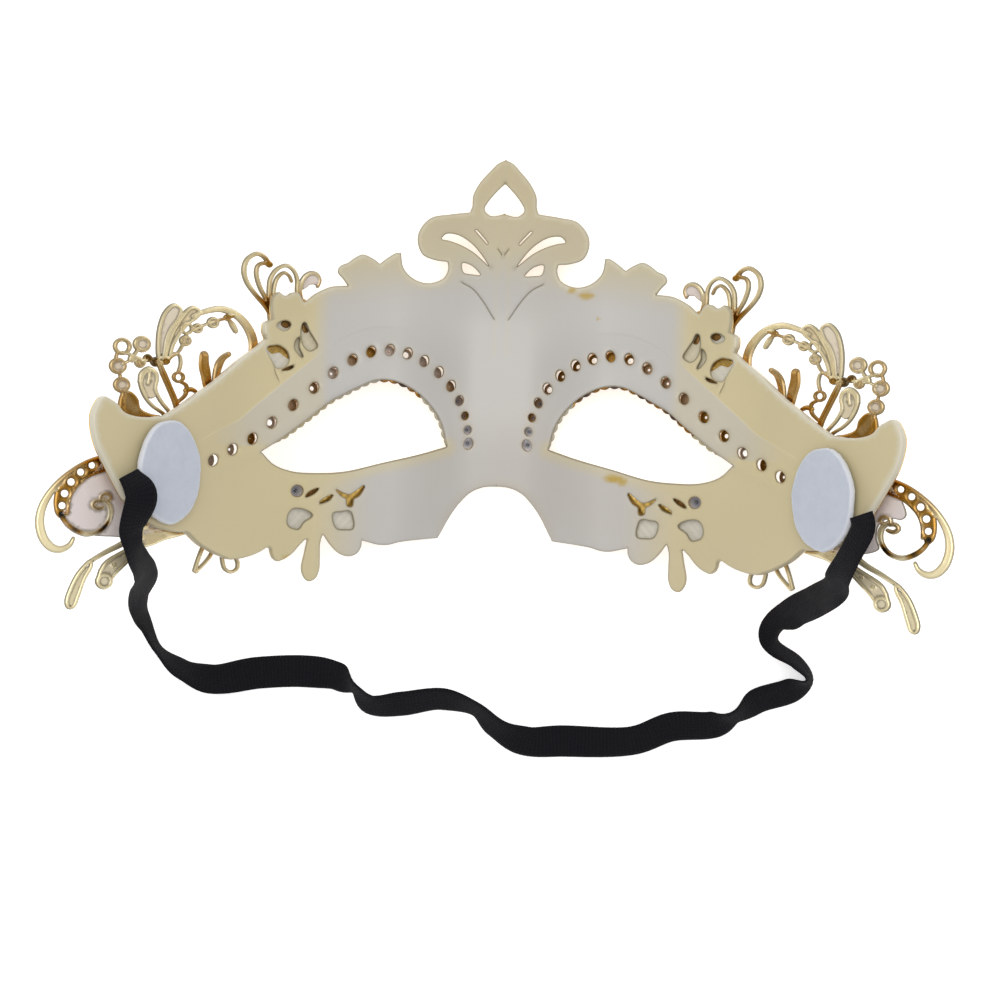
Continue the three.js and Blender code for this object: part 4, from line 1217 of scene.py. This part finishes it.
class Pattern:
    # parts drawn over each other in plan, with a tone from 0 for pale gold to 1 and more for dark
    def __init__(self):
        self.points = []
        self.faces = []
        self.marks = []  # x, y, amber, bare and deep
        self.wires = []  # x, y, half width and amber
        self.count = 0

    def addPoints(self, points):
        first = self.count
        self.points.append(np.asarray(points, float))
        self.count += len(points)
        return first

    def mark(self, spots, *values):
        columns = [np.broadcast_to(v, len(spots)) for v in values]
        self.marks.append(np.column_stack([spots, *columns]))

    def stroke(self, knots, width, tone=0.2, closed=False, step=0.45):
        line = smoothLine(knots, step, closed)
        share = lengths(np.vstack([line, line[:1]]) if closed else line)
        share = share[:len(line)] / share[-1]

        def spread(value):
            # one value for the whole stroke, or values at even steps along it
            value = np.atleast_1d(value)
            return np.interp(share, np.linspace(0, 1, len(value)), value)

        half, tones = spread(width) / 2, spread(tone)
        heading = headings(line, closed)
        side = leftOf(heading)
        low, high = (self.addPoints(line + side * (half * edge)[:, None]) for edge in (-1, 1))
        for row in giltForm["strokeRows"]:
            self.addPoints(line + side * (half * row)[:, None])
        count = len(line)
        for i in range(count if closed else count - 1):
            j = (i + 1) % count
            self.faces.append([low + i, low + j, high + j, high + i])
        if not closed:
            turn = np.linspace(-np.pi / 2, np.pi / 2, 7)[1:-1]
            for i, sign in ((0, -1), (count - 1, 1)):
                ahead = heading[i] * sign
                left = np.array([-ahead[1], ahead[0]])
                cap = line[i] + half[i] * (np.outer(np.cos(turn), ahead) + np.outer(np.sin(turn), left))
                start = self.addPoints(cap)
                ends = (high + i, low + i) if sign < 0 else (low + i, high + i)
                self.faces.append([ends[0], *range(start, start + len(cap)), ends[1]])
        self.wires.append(np.column_stack(evenly(line, 0.18, half, tones)))

    def disc(self, centre, radius, tone=0.2, bare=0, deep=0):
        circle = np.stack(circleSteps(20), 1)
        start = self.addPoints(centre + circle * radius)
        self.faces.append(list(range(start, start + len(circle))))
        for row in giltForm["discRows"]:
            self.addPoints(centre + circle * radius * row)
        self.addPoints([centre])
        self.mark(centre + circle * radius * 0.5, tone, bare, deep)
        self.mark([centre], tone, bare, deep)

    def ring(self, centre, radius, width, tone=0.2):
        x, y = centre
        knots = [(x + radius * math.cos(a), y + radius * math.sin(a)) for a in np.arange(8) * math.pi / 4]
        self.stroke(knots, width, tone, closed=True, step=0.4)

    def cup(self, centre, radius, width, tone=0.3, bare=0.5):
        # a ring with a sunk floor
        self.disc(centre, radius, tone * 0.5, bare, 1)
        self.ring(centre, radius, width, tone)

    def plate(self, knots, tone=0.2, bare=0, deep=0, holes=()):
        # a flat part with round holes, given as centre and radius
        ring = counterClockwise(smoothLine(knots, 0.5, closed=True))
        start = self.addPoints(ring)
        rows = [beside(ring, size) for size in giltForm["plateRows"]]
        rows = [row[ringDistance(row, ring) > size * 0.9] for row, size in zip(rows, giltForm["plateRows"])]
        grid = hexGrid(ring.min(0), ring.max(0), 0.8)
        grid = grid[insideRing(grid, ring) & (ringDistance(grid, ring) > 0.8)]
        inner = np.vstack([*rows, grid])
        if holes:
            # handed on as triangles, so that the holes stay open where nothing else lies
            circle = np.stack(circleSteps(14), 1)
            cuts = [centre + circle * radius for centre, radius in holes]
            wider = []
            for cut, (centre, radius) in zip(cuts, holes):
                wider.append(centre + (cut - centre) * (1 + 0.1 / radius))
                inner = inner[np.hypot(*(inner - centre).T) > radius + 0.18]
            rings = [ring, *(cut[::-1] for cut in cuts)]
            spots = np.vstack([*rings, *wider, inner])
            plan, triangles = triangulate(spots, ringFaces(rings), 1)
            low = self.addPoints(plan)
            self.faces += (triangles + low).tolist()
        else:
            spots = np.vstack([ring, inner])
            self.addPoints(inner)
            self.faces.append(list(range(start, start + len(ring))))
        self.mark(spots, tone, bare, deep)

    def sheet(self):
        # the pattern in one piece, and how far each point lies from a stroke's middle, in half widths
        points = np.vstack(self.points)
        faces = [face if turnsLeft(points[face]) else face[::-1] for face in self.faces]
        plan, triangles = triangulate(points, faces, len(faces))
        rim = rimEdges(triangles)
        marks, wires = np.vstack(self.marks), np.vstack(self.wires)
        under, over = np.empty((2, len(plan)), int)  # the nearest mark and the nearest stroke
        reach, share = np.empty((2, len(plan)))  # how far the mark and the stroke's middle are
        for first in range(0, len(plan), batch):
            part, rows = plan[first:first + batch, None, :], slice(first, first + batch)
            gaps = ((marks[:, :2] - part) ** 2).sum(2)
            ratio = ((wires[:, :2] - part) ** 2).sum(2) / wires[:, 2] ** 2
            under[rows], over[rows] = gaps.argmin(1), ratio.argmin(1)
            reach[rows], share[rows] = np.sqrt(gaps.min(1)), np.sqrt(ratio.min(1))
        amber, bare, deep = marks[under, 2:].T * np.array([reach < 9, reach < 0.9, reach < 0.9])
        amber = np.where(share < 1.05, wires[over, 3], amber)
        return plan, triangles, rim, share, (amber, bare, deep)


def upperSpray(p):
    p.stroke([(60.9, 3.2), (60.6, 9.2), (62.1, 13), (64.8, 15.8), (68.1, 17), (70.8, 16.6), (73.3, 15.6),
              (74.8, 14.8)], (2.3, 2.3, 2.2, 2.1, 1.9, 1.7, 1.4, 1.1),
             (0.9, 0.8, 0.6, 0.3, 0.1, 0.1, 0.1, 0.1))
    p.stroke([(65.6, 15.4), (66.9, 14.9), (70.1, 13.8), (73.7, 12), (76, 10.4), (76.8, 8), (77.8, 6),
              (79.8, 4.4)], 0.8, (0.9, 0.9, 0.2, 0.2, 0.2, 0.3, 0.4, 0.9))
    p.disc((66.9, 15), 0.85, 1)
    p.stroke([(66.5, 14.6), (65.8, 13.6), (64.8, 11.8)], (0.8, 1.5, 1.2), (0.8, 0.1, 0.1))
    p.cup((70.1, 13.6), 1.1, 0.75, 0.25, 0.2)
    p.cup((73.6, 12), 0.95, 0.7, 0.3, 0.2)
    p.ring((76.1, 11.8), 1.2, 0.8, 0.3)
    p.cup((76.3, 8.8), 1.05, 0.75, 0.4, 0.2)
    p.plate([(82.1, 4.8), (82.5, 8.2), (82.1, 12.4), (80.9, 15.5), (79.2, 17), (77.9, 16), (78.4, 14),
             (79.8, 11.7), (80.8, 8.8), (81.5, 5.4)], 0.1, bare=0.55, deep=1)
    p.plate([(80.5, 5.2), (79.5, 9.7), (77.5, 13.7), (75.8, 16.1), (74.6, 16.7), (73.6, 15.9), (74, 14.9),
             (75.9, 13.1), (77.7, 10.8), (79.2, 7.7), (80, 5.2)], 0.35, bare=0.15, deep=1)
    p.plate([(86.1, -1.7), (85.7, 0.1), (84.3, 1.3), (83, 0.4), (82.7, -1.2), (83, -3.2), (82.6, -5),
             (84, -5.6), (85.6, -3.4)], 0.15, bare=0.35, deep=1)
    p.stroke([(82.1, 4.3), (82.5, 8.2), (82.1, 12.4), (80.9, 15.7), (79.1, 17.3), (77.6, 16.2), (78.2, 14),
              (79.7, 11.7), (80.7, 8.8), (81.3, 4.8)], 0.9, 0.12, closed=True)
    p.stroke([(80.6, 4.7), (79.7, 9.7), (77.7, 13.8), (75.9, 16.4), (74.6, 17), (73.3, 16), (73.8, 14.8),
              (75.8, 13), (77.6, 10.7), (79.1, 7.6), (80, 4.6)], 0.9, 0.12, closed=True)
    p.disc((82.9, 3.3), 1.25, 1.6)
    p.disc((84.7, 4.1), 1.05, 1.5)
    p.disc((80.7, 3.7), 1.1, 1.3)
    p.ring((90.5, 6.6), 1.65, 1.05, 0.5)
    p.cup((86.1, 7.4), 1.55, 1.05, 0.4)
    p.cup((91.4, 1.9), 1.55, 1, 0.55)
    p.cup((90.4, -2.6), 1.5, 1, 0.6)
    p.disc((86.4, 2.9), 1.3, 0.6)
    p.disc((88.2, 3.8), 1, 0.15)
    p.stroke([(85.4, 3.4), (88.2, 4.6), (90.4, 5.2)], 0.8, 0.2)
    p.stroke([(88, 3.8), (89.6, 2.8), (90.4, 2.4)], 0.8, 0.3)
    p.stroke([(91.6, 5), (91.9, 3.6), (91.9, 3)], 0.8, 0.7)
    p.stroke([(91, 0.6), (90.7, -0.9)], 0.8, 0.7)
    p.stroke([(86.9, 6.2), (87.6, 5), (88.4, 4)], 0.9, 0.2)
    p.stroke([(90.2, -4), (89.4, -6), (87.4, -8.4)], 1.2, 0.8)
    p.stroke([(86.3, -1.7), (85.9, 0.3), (84.3, 1.5), (82.8, 0.5), (82.5, -1.2)], (1, 1.4, 1.5, 1.2, 0.9),
             0.1)
    p.stroke([(86.3, -1.7), (85.9, -3.3), (84.9, -5.4), (83.3, -7.3), (80.9, -9), (79.4, -10.6)], 0.9,
             (0.2, 0.1, 0.1, 0.3, 0.8, 0.9))
    p.stroke([(82.5, -1.2), (82.8, -3.1), (81.7, -5.7), (79.6, -8.4), (78.4, -10)], 0.9,
             (0.2, 0.1, 0.1, 0.5))
    p.stroke([(84.4, 1.2), (84.3, -0.4), (84.6, -2)], 0.7, 0.15)
    p.stroke([(82.3, 3.5), (81, 0.5), (79.6, -2.7), (78.2, -6), (77.4, -9)], (1.2, 1.5, 1.4, 1.4, 1.4),
             (0.5, 1, 1, 1, 1))
    p.stroke([(77.9, -6.4), (75.9, -4.2), (75.8, -2), (77, -1.2)], 0.9, 1)
    p.stroke([(76, -3.2), (74.6, -2.9), (73.6, -3.4)], (1, 1.3, 1), 1)
    p.ring((77.6, -0.1), 1.1, 0.8, 0.9)
    p.stroke([(77.7, 1), (77.2, 3.2), (77.6, 5.2), (78.6, 5.6), (79.8, 4.2)], 0.8,
             (0.8, 0.3, 0.2, 0.4, 0.9))
    p.stroke([(71.9, 5.6), (71.9, 3.4), (71.3, 0.4), (70.6, -4.4)], (2.1, 2.6, 2.2, 1.4), 0.9)
    p.stroke([(66.3, 6.1), (67.6, 5.1), (68.6, 3), (69.4, -3)], (1.4, 1.9, 1.7, 1.4), (0.7, 0.8, 0.7, 0.7))
    p.plate([(90.2, -4.2), (88.4, -4), (86.6, -5.8), (86, -8), (83.6, -9.2), (81, -9.8), (80.6, -12),
             (88.4, -13.2), (91, -9)], 0.95)


def sideCurl(p):
    p.stroke([(92.6, -19.6), (95.9, -20.5), (99.5, -22.4), (103.1, -25.4), (106, -29.1), (107.7, -32.7),
              (108.1, -36.3), (107, -40), (105, -42), (103, -42.3), (101.1, -41.2), (100.3, -39.6)],
             (1, 1, 1.1, 1.2, 1.5, 1.8, 2, 2.2, 2.3, 2.2, 1.6, 0.9), (1.1, 1.1, 0.9, 0.75, 0.5, 0.3, 0.15,
                                                                      0.1, 0.05, 0.05, 0.05, 0.1))
    # plain web beside the temple
    p.plate([(88, -19), (92.4, -20.4), (95.2, -22.4), (97.2, -25.4), (98, -28.4), (97, -29.4),
             (94.8, -29.2), (92.8, -29.8), (91.6, -31.4), (91.4, -34), (92, -36.6), (88, -38), (82, -37.4),
             (76, -35), (80, -26)], 0.0, bare=1, deep=0.6)
    beads = [((96.6, -22.1), 0.75), ((99.1, -23.8), 0.8), ((101.2, -26.2), 0.85), ((102.6, -29), 0.85),
             ((103.1, -31.9), 0.8)]
    p.plate([(93, -19.7), (96.4, -20.4), (99.8, -22.2), (102.7, -24.8), (104.6, -28), (105.1, -31.2),
             (104.4, -34.2), (102.8, -35.2), (101.9, -33.4), (101.8, -31), (101, -28.4), (99.3, -26.1),
             (97, -24.3), (94.4, -23.2), (92.4, -22.6)], 0.95, holes=beads)
    p.stroke([(92.6, -22.9), (94.6, -23.5), (97.1, -24.6), (99.2, -26.3), (100.9, -28.5), (101.7, -31),
              (101.8, -33.6)], 0.9, (1, 1, 0.9, 0.85, 0.8, 0.7, 0.9))
    p.stroke([(103.4, -34), (101.9, -36.2), (99.9, -37.7), (97.4, -38.5), (94.8, -37.8), (92.9, -35.8),
              (92.2, -33.4), (92.6, -31.4), (93.8, -30.3)], (1.2, 1.3, 1.4, 1.4, 1.3, 1.3, 1.3, 1.5, 1.3),
             (1.9, 0.7, 1.7, 0.1, 0.4, 1.8, 0.1, 0.2, 0.4))
    p.stroke([(93.2, -30.8), (92.2, -29.8), (93, -28.8), (94.4, -29.4), (94.6, -30.6)],
             (1.1, 1.2, 1.3, 1.2, 1), 0.6)
    p.stroke([(94.2, -30.6), (95.6, -30.6), (96.3, -31.6), (95.2, -32.4), (93.8, -32)],
             (1.1, 1.2, 1.3, 1.2, 1), 0.6)


def curlShadeSheet(p):
    # the left curl is closed by a thin sheet, which stands in for lilac-grey shade inside the curl; the
    # right curl stays open
    p.plate([(88, -19), (92.4, -22.8), (94.6, -23.5), (97.1, -24.6), (99.2, -26.3), (100.9, -28.5),
             (101.7, -31), (102.6, -33.6), (102.5, -35.2), (101, -37.2), (97.4, -38.6), (92, -39),
             (86, -38.4), (84, -28)], 0.0, bare=1, deep=1)


def lowerLeaves(p):
    p.stroke([(84, -36), (88.7, -40.3), (92.8, -42.7), (96.3, -45)], (1.6, 1.6, 1.3, 1.1), 0.1)
    p.stroke([(96.2, -44.9), (98.8, -47.7), (100.6, -51.4), (101.5, -54.8), (101, -56.1), (99.9, -55.9),
              (98.9, -53.4), (97.7, -49.5), (96.2, -46.3)], 0.95, 0.08, closed=True)
    p.stroke([(84.4, -38.6), (86.9, -41.2), (92.7, -45.1), (94, -47.2)], 0.9, 0.1)
    p.stroke([(84, -40.6), (86.6, -43.4), (90.6, -47.8), (91.6, -49.2)], 0.9, 0.1)
    p.cup((93.1, -49.7), 1.55, 0.95, 0.05, 0.3)
    p.plate([(96.6, -46), (98.8, -48.4), (100.4, -51.6), (101.1, -54.8), (100.8, -55.7), (100.1, -55.5),
             (99.1, -53.3), (97.9, -49.6)], 0.0, bare=0.1, deep=1)
    p.plate([(85, -39.4), (87, -41.4), (92.6, -45.3), (93.9, -47.4), (93.4, -48.8), (91.6, -49),
             (90.6, -47.6), (86.8, -43.4), (84.4, -41)], 0.05, bare=0.3, deep=1)
    p.stroke([(94, -47.2), (94.4, -48.6)], 0.8, 0.1)
    for spot in ((88.4, -43.3), (91, -45.8)):
        p.disc(spot, 0.8, 0.1)
    p.plate([(73, -35), (76.6, -37.4), (80, -37), (84.6, -37.2), (86.8, -39.2), (85.4, -41.4), (82.6, -41),
             (79.6, -39.6), (76.4, -38.6), (73.8, -37.4)], 0.12)
    p.stroke([(67.6, -38.4), (69.2, -43.2), (72.3, -47.1)], 0.9, 0.3)
    p.stroke([(69.6, -37.6), (71.6, -43), (72.7, -46.9)], 0.9, 0.3)
    p.stroke([(66.6, -39), (66.3, -44.4), (65.6, -46.4), (64.2, -47), (62.9, -46.2), (62.8, -44.6),
              (64, -42.4), (66.4, -39)], 0.9, 0.25)


def wingPlate(p):
    p.plate([(62, 3.6), (71, -4), (80.5, -11.8), (90.5, -12), (94, -19.5), (87, -32), (75.5, -36.2),
             (65.5, -41), (71, -33), (75, -22), (71, -12.5), (60.6, 1)], 0.25)


def browSprig(p):
    p.plate([(48.2, 19.6), (52.6, 20.6), (57.2, 19.4), (57.4, 15.6), (56, 12), (53, 9), (48.6, 14)], 0.5)
    p.stroke([(56.4, 16.6), (58, 18.6), (60.8, 21.5), (62.7, 24.3), (63.3, 27.1), (62.5, 29.7),
              (60.3, 31.1), (58.6, 30.4), (57.4, 28.6)], (1.7, 1.4, 1.1, 1.1, 1.15, 1.2, 1.2, 1.2, 1.3),
             (1.2, 1.1, 0.9, 0.2, 0.15, 0.15, 0.2, 0.5, 1.2))
    p.stroke([(57.2, 28.5), (58.4, 28.9), (59.9, 28.4), (60.4, 26.7), (59.6, 23.3), (57.2, 19)], 1.05,
             (1.2, 0.6, 0.25, 0.3, 0.6, 1.1))
    p.disc((57.4, 28.7), 0.85, 1.25)
    p.stroke([(57.2, 19.6), (57.3, 22.4), (57, 25.3), (55.6, 27.6), (53.3, 28.7), (51.5, 27.5),
              (50.7, 25.5), (50.6, 22.6), (50.2, 20)], 1.05, (0.5, 0.3, 0.2, 0.1, 0.1, 0.1, 0.3, 0.4, 0.8))
    p.stroke([(56.2, 20), (56.2, 22.6), (55.5, 25.4), (53.9, 26.9), (52.7, 26.3), (52, 24.9)],
             (1, 1, 1, 1, 0.9, 0.8), (0.1, 0.1, 0.2, 0.4, 0.5, 0.6))
    p.stroke([(48.9, 18), (49.8, 20.8), (49.9, 24), (49, 26.2), (47.4, 27.3), (45.8, 26.9), (45.2, 25.5),
              (45.7, 24)], (1.6, 1.5, 1.1, 1, 1, 1, 0.95, 0.9), (1.1, 1.1, 0.4, 0.15, 0.1, 0.2, 0.4, 0.6))
    p.plate([(49.9, 22.8), (49.4, 25.4), (48.4, 26.6), (47, 27), (45.8, 26.4), (45.3, 25.2), (45.7, 23.9),
             (46.5, 24.4), (47.6, 24.3), (48.6, 23.4)], 0.05, bare=0.9, deep=0.7)
    p.stroke([(48.6, 20.2), (51, 20.8), (53, 20.2)], 0.9, 0.4)


def buildGilt(name, node, side, figures):
    pattern = Pattern()
    for figure in figures:
        figure(pattern)
    plan, triangles, rim, share, (amber, bare, deep) = pattern.sheet()
    away = rimDistance(plan, rim)
    half = rounded(away, form["giltThickness"], form["giltThickness"] / 2)
    ridge = np.sqrt(1 - np.minimum(share, 1) ** 2)
    sink = giltForm["hollow"] * deep * (1 - ridge) * ease(0, 0.5, away)
    sink = sink + giltForm["dish"] * (1 - deep) * ease(0.6, 1.3, away)
    points, faces, _ = raiseSheet(plan, triangles, rim, half, sprayHeight, -sink, -sink, lean=1)
    # painted shade in the hollows beside the strokes, and a painted dark outline along the rims
    hollowShade = giltForm["hollowShade"] * deep * np.exp(-(((share - 1.05) / 0.3) ** 2))
    edge = np.maximum(1 - ease(*giltForm["paintedOutline"], away), hollowShade)
    values = [np.concatenate([v, v]) for v in (amber, bare * (1 - ridge), edge)]
    points, faces, values = dropUnused(points, faces, values)
    if side < 0:
        points, faces = mirrored(points, faces)
    named = dict(zip(("amber", "bare", "edge"), values))
    addPiece(name, points, faces, [gilt], node, attributes=named, crease=75)
    print(name + ":", len(faces), "faces")


wing = [wingPlate, upperSpray, sideCurl, lowerLeaves]
buildGilt("gilt-wing-left", "gilt_wing_left", -1, [*wing, curlShadeSheet])
buildGilt("gilt-wing-right", "gilt_wing_right", 1, wing)
buildGilt("brow-sprig-left", "brow_sprig_left", -1, [browSprig])
buildGilt("brow-sprig-right", "brow_sprig_right", 1, [browSprig])


# Rhinestones in their settings

gem = [  # reach and height in radii of the stone, corners, and turn, of each ring of corners
    (0.55, 0.38, 8, 0), (0.8, 0.24, 8, 0.5), (1, 0.05, 16, 0.5),
    (1, 0, 16, 0.5), (0.55, -0.36, 8, 0), (0.04, -0.72, 8, 0),
]


def hullOf(points):
    work = bmesh.new()
    for p in points:
        work.verts.new(p)
    bmesh.ops.convex_hull(work, input=work.verts)
    loose = [v for v in work.verts if not v.link_faces]
    bmesh.ops.delete(work, geom=loose, context="VERTS")
    bmesh.ops.dissolve_limit(work, angle_limit=0.01, verts=work.verts, edges=work.edges)
    work.verts.index_update()
    made = np.array([tuple(v.co) for v in work.verts]), [[v.index for v in f.verts] for f in work.faces]
    work.free()
    return made


def gemShape(radius):
    # z points out of the setting
    rings = []
    for share, height, corners, turn in gem:
        cosines, sines = circleSteps(corners, turn)
        rings.append(np.stack([cosines * share, sines * share, np.full(corners, height)], 1))
    return hullOf(np.vstack(rings) * radius)


def cupShape(radius, window, flange):
    # a ring of metal round the stone: window is the open share of its back, flange its outer reach
    r, count = radius, 48
    profile = [(window * r, -0.62 * r, 0), (1.02 * r, -0.62 * r, 0), ((flange - 0.02) * r, -0.3 * r, 1),
               (flange * r, 0.02 * r, 1), ((flange - 0.12) * r, 0.14 * r, 1), (0.97 * r, 0.1 * r, 0),
               (0.97 * r, -0.04 * r, 0), (0.7 * r, -0.32 * r, 0), (window * r + 0.03, -0.5 * r, 0)]
    cosines, sines = circleSteps(count)
    scallops = 1 + 0.035 * np.cos(np.arange(count) * 2 * np.pi / count * 12)
    rings = []
    for reach, z, scalloped in profile:
        swell = scallops if scalloped else 1
        rings.append(np.stack([cosines * reach * swell, sines * reach * swell, np.full(count, z)], 1))
    faces = []
    for i in range(len(profile)):
        j = (i + 1) % len(profile)
        for k in range(count):
            m = (k + 1) % count
            faces.append([i * count + k, i * count + m, j * count + m, j * count + k])
    return np.vstack(rings), faces


def buildStone(name, node, x, y, radius, window, silver, dark, flange):
    out = -unit(steepness(shellHeight, x, y))
    side = unit(np.cross(out, (0, 1, 0)))
    axes = np.stack([side, np.cross(out, side), out])
    seat = np.array([x, y, float(shellHeight(x, y))])
    seat = seat + out * (form["shellThickness"] / 2 + stones["gap"] + stones["rise"] * radius)
    turn = random.random()
    spin = np.array([[math.cos(turn), math.sin(turn), 0], [-math.sin(turn), math.cos(turn), 0], [0, 0, 1]])
    gemPoints, gemFaces = gemShape(radius)
    cupPoints, cupFaces = cupShape(radius, window, flange)
    points = np.vstack([gemPoints @ spin, cupPoints]) @ axes + seat
    faces = gemFaces + [[i + len(gemPoints) for i in face] for face in cupFaces]
    zones = [0] * len(gemFaces) + [1] * len(cupFaces)
    middle = np.hypot(*np.vstack([gemPoints, cupPoints])[:, :2].T) < stones["darkReach"] * radius
    named = {"silver": np.full(len(points), silver), "dark": dark * middle}
    piece = addPiece(name, points, faces, [crystal, setting], node, zones, named, crease=0)
    piece.data.polygons.foreach_set("use_smooth", np.array(zones) == 1)
    piece.data.set_sharp_from_angle(angle=math.radians(32))


def buildStones():
    shut = stones["shut"]
    for word, side in (("left", -1), ("right", 1)):
        for i, (u, y) in enumerate(stones["seats"]):
            window = random.choice(stones["windows"])
            silver = stones["silvery"] if i < 2 else random.choice(stones["silvers"])
            window, dark = (shut, 1.0) if i < 4 else (window, 0.0)
            buildStone(f"eye-stone-{word}-{i + 1:02d}", f"eye_stone_{word}_{i + 1:02d}", side * u, y,
                       stones["radius"], window, silver, dark, stones["flanges"][i >= 7])
        u, y = stones["cheekSeat"]
        buildStone(f"cheek-stone-{word}", f"cheek_stone_{word}", side * u, y,
                   stones["cheekRadius"], shut, stones["cheekSilver"], 1.0, stones["flanges"][0])
    print("stones set")


buildStones()


# Felt pads

pads = {
    "across": 10.9,  # half the width round the temple
    "tall": 12.5,  # half the height
    "thickness": 1.6,
    "round": 0.45,
    "fuzz": 0.07,
    "unevenness": 0.05,
    "rings": 34,
    "rimRings": (0.955, 0.975, 0.99, 1.0),
    "sides": 120,
    "seed": 3,
}


def buildPad(word, mount):
    top = np.array(mount["pos_m"]) / mm - form["shift"]
    axis = unit(np.array(mount["axis"]))
    side = unit(np.cross((0, 1, 0), axis))
    across = np.cross(axis, side)
    count, thick, bevel, uneven = pads["sides"], pads["thickness"], pads["round"], pads["unevenness"]
    turn = np.arange(count) * 2 * np.pi / count
    shares = np.concatenate([np.linspace(0.04, 0.93, pads["rings"]), pads["rimRings"]])
    source = np.random.default_rng(pads["seed"])
    waves = (2, 3, 5, 7, 11)
    wobble = sum(source.normal(0, uneven) * np.cos(turn * k + source.uniform(0, 6)) for k in waves)
    points = []
    for up in (1, -1):
        for share in shares if up > 0 else shares[-2::-1]:
            inward = pads["tall"] * (1 - share)
            drop = bevel - math.sqrt(max(0, bevel**2 - max(0, bevel - inward) ** 2))
            fuzz = source.normal(0, pads["fuzz"] * 0.4, count) * (share > 0.1)
            ragged = (wobble + (source.normal(0, uneven, count) if share > 0.95 else 0)) * share
            height = thick / 2 - drop * (thick / 2 / bevel) * 0.9 if inward < bevel else thick / 2
            level = up * height - thick / 2 + fuzz * up * 0.5
            wide, tall = pads["across"] * share + ragged, pads["tall"] * share + ragged
            points.append(top + np.outer(wide * np.cos(turn), side) + np.outer(tall * np.sin(turn), across)
                          + np.outer(level, axis))
    # a painted highlight round the edge
    rim = np.repeat(0.7 * ease(0.93, 1, np.concatenate([shares, shares[-2::-1]])), count)
    pad = addPiece(f"felt-pad-{word}", np.vstack(points), tubeFaces(len(points), count), [felt],
                   f"felt_pad_{word}", attributes={"rim": rim}, crease=60)


for mount in frame["record"]["mounts"]:
    buildPad(mount["name"].rsplit("_", 1)[1], mount)
print("pads made")


# Floor and studio light

def addFloor():
    half = view["floorHalf"]
    mesh = bpy.data.meshes.new("floor")
    corners = [(-half, -half, 0), (half, -half, 0), (half, half, 0), (-half, half, 0)]
    mesh.from_pydata(corners, [], [(0, 1, 2, 3)])
    floor = bpy.data.objects.new("floor", mesh)
    bpy.context.collection.objects.link(floor)
    mesh.materials.append(startMaterial("white floor", view["floor"])[0])


def addLamp():
    light = bpy.data.lights.new("overhead", "AREA")
    light.shape = "DISK"
    light.size = view["lampSize"]
    light.energy = view["lamp"]
    lamp = bpy.data.objects.new("overhead", light)
    lamp.location = view["lampPlace"]
    lamp.rotation_euler = Vector(view["lampPlace"]).to_track_quat("Z", "Y").to_euler()
    bpy.context.collection.objects.link(lamp)


def addSky():
    world = bpy.data.worlds.new("studio")
    world.use_nodes = True
    bpy.context.scene.world = world
    start = Signal(world.node_tree)
    height = start.node("SeparateXYZ", {}, {0: start.node("TexCoord", out="Generated")}, out=2)
    sky = start.node("ValToRGB", {"stops": view["sky"]}, {0: height})
    back = next(n for n in world.node_tree.nodes if n.type == "BACKGROUND")
    feed(sky, back, "Color")
    back.inputs["Strength"].default_value = view["skyStrength"]
    bpy.context.scene.view_settings.view_transform = "Standard"


addFloor()
addLamp()
addSky()
print("studio set")
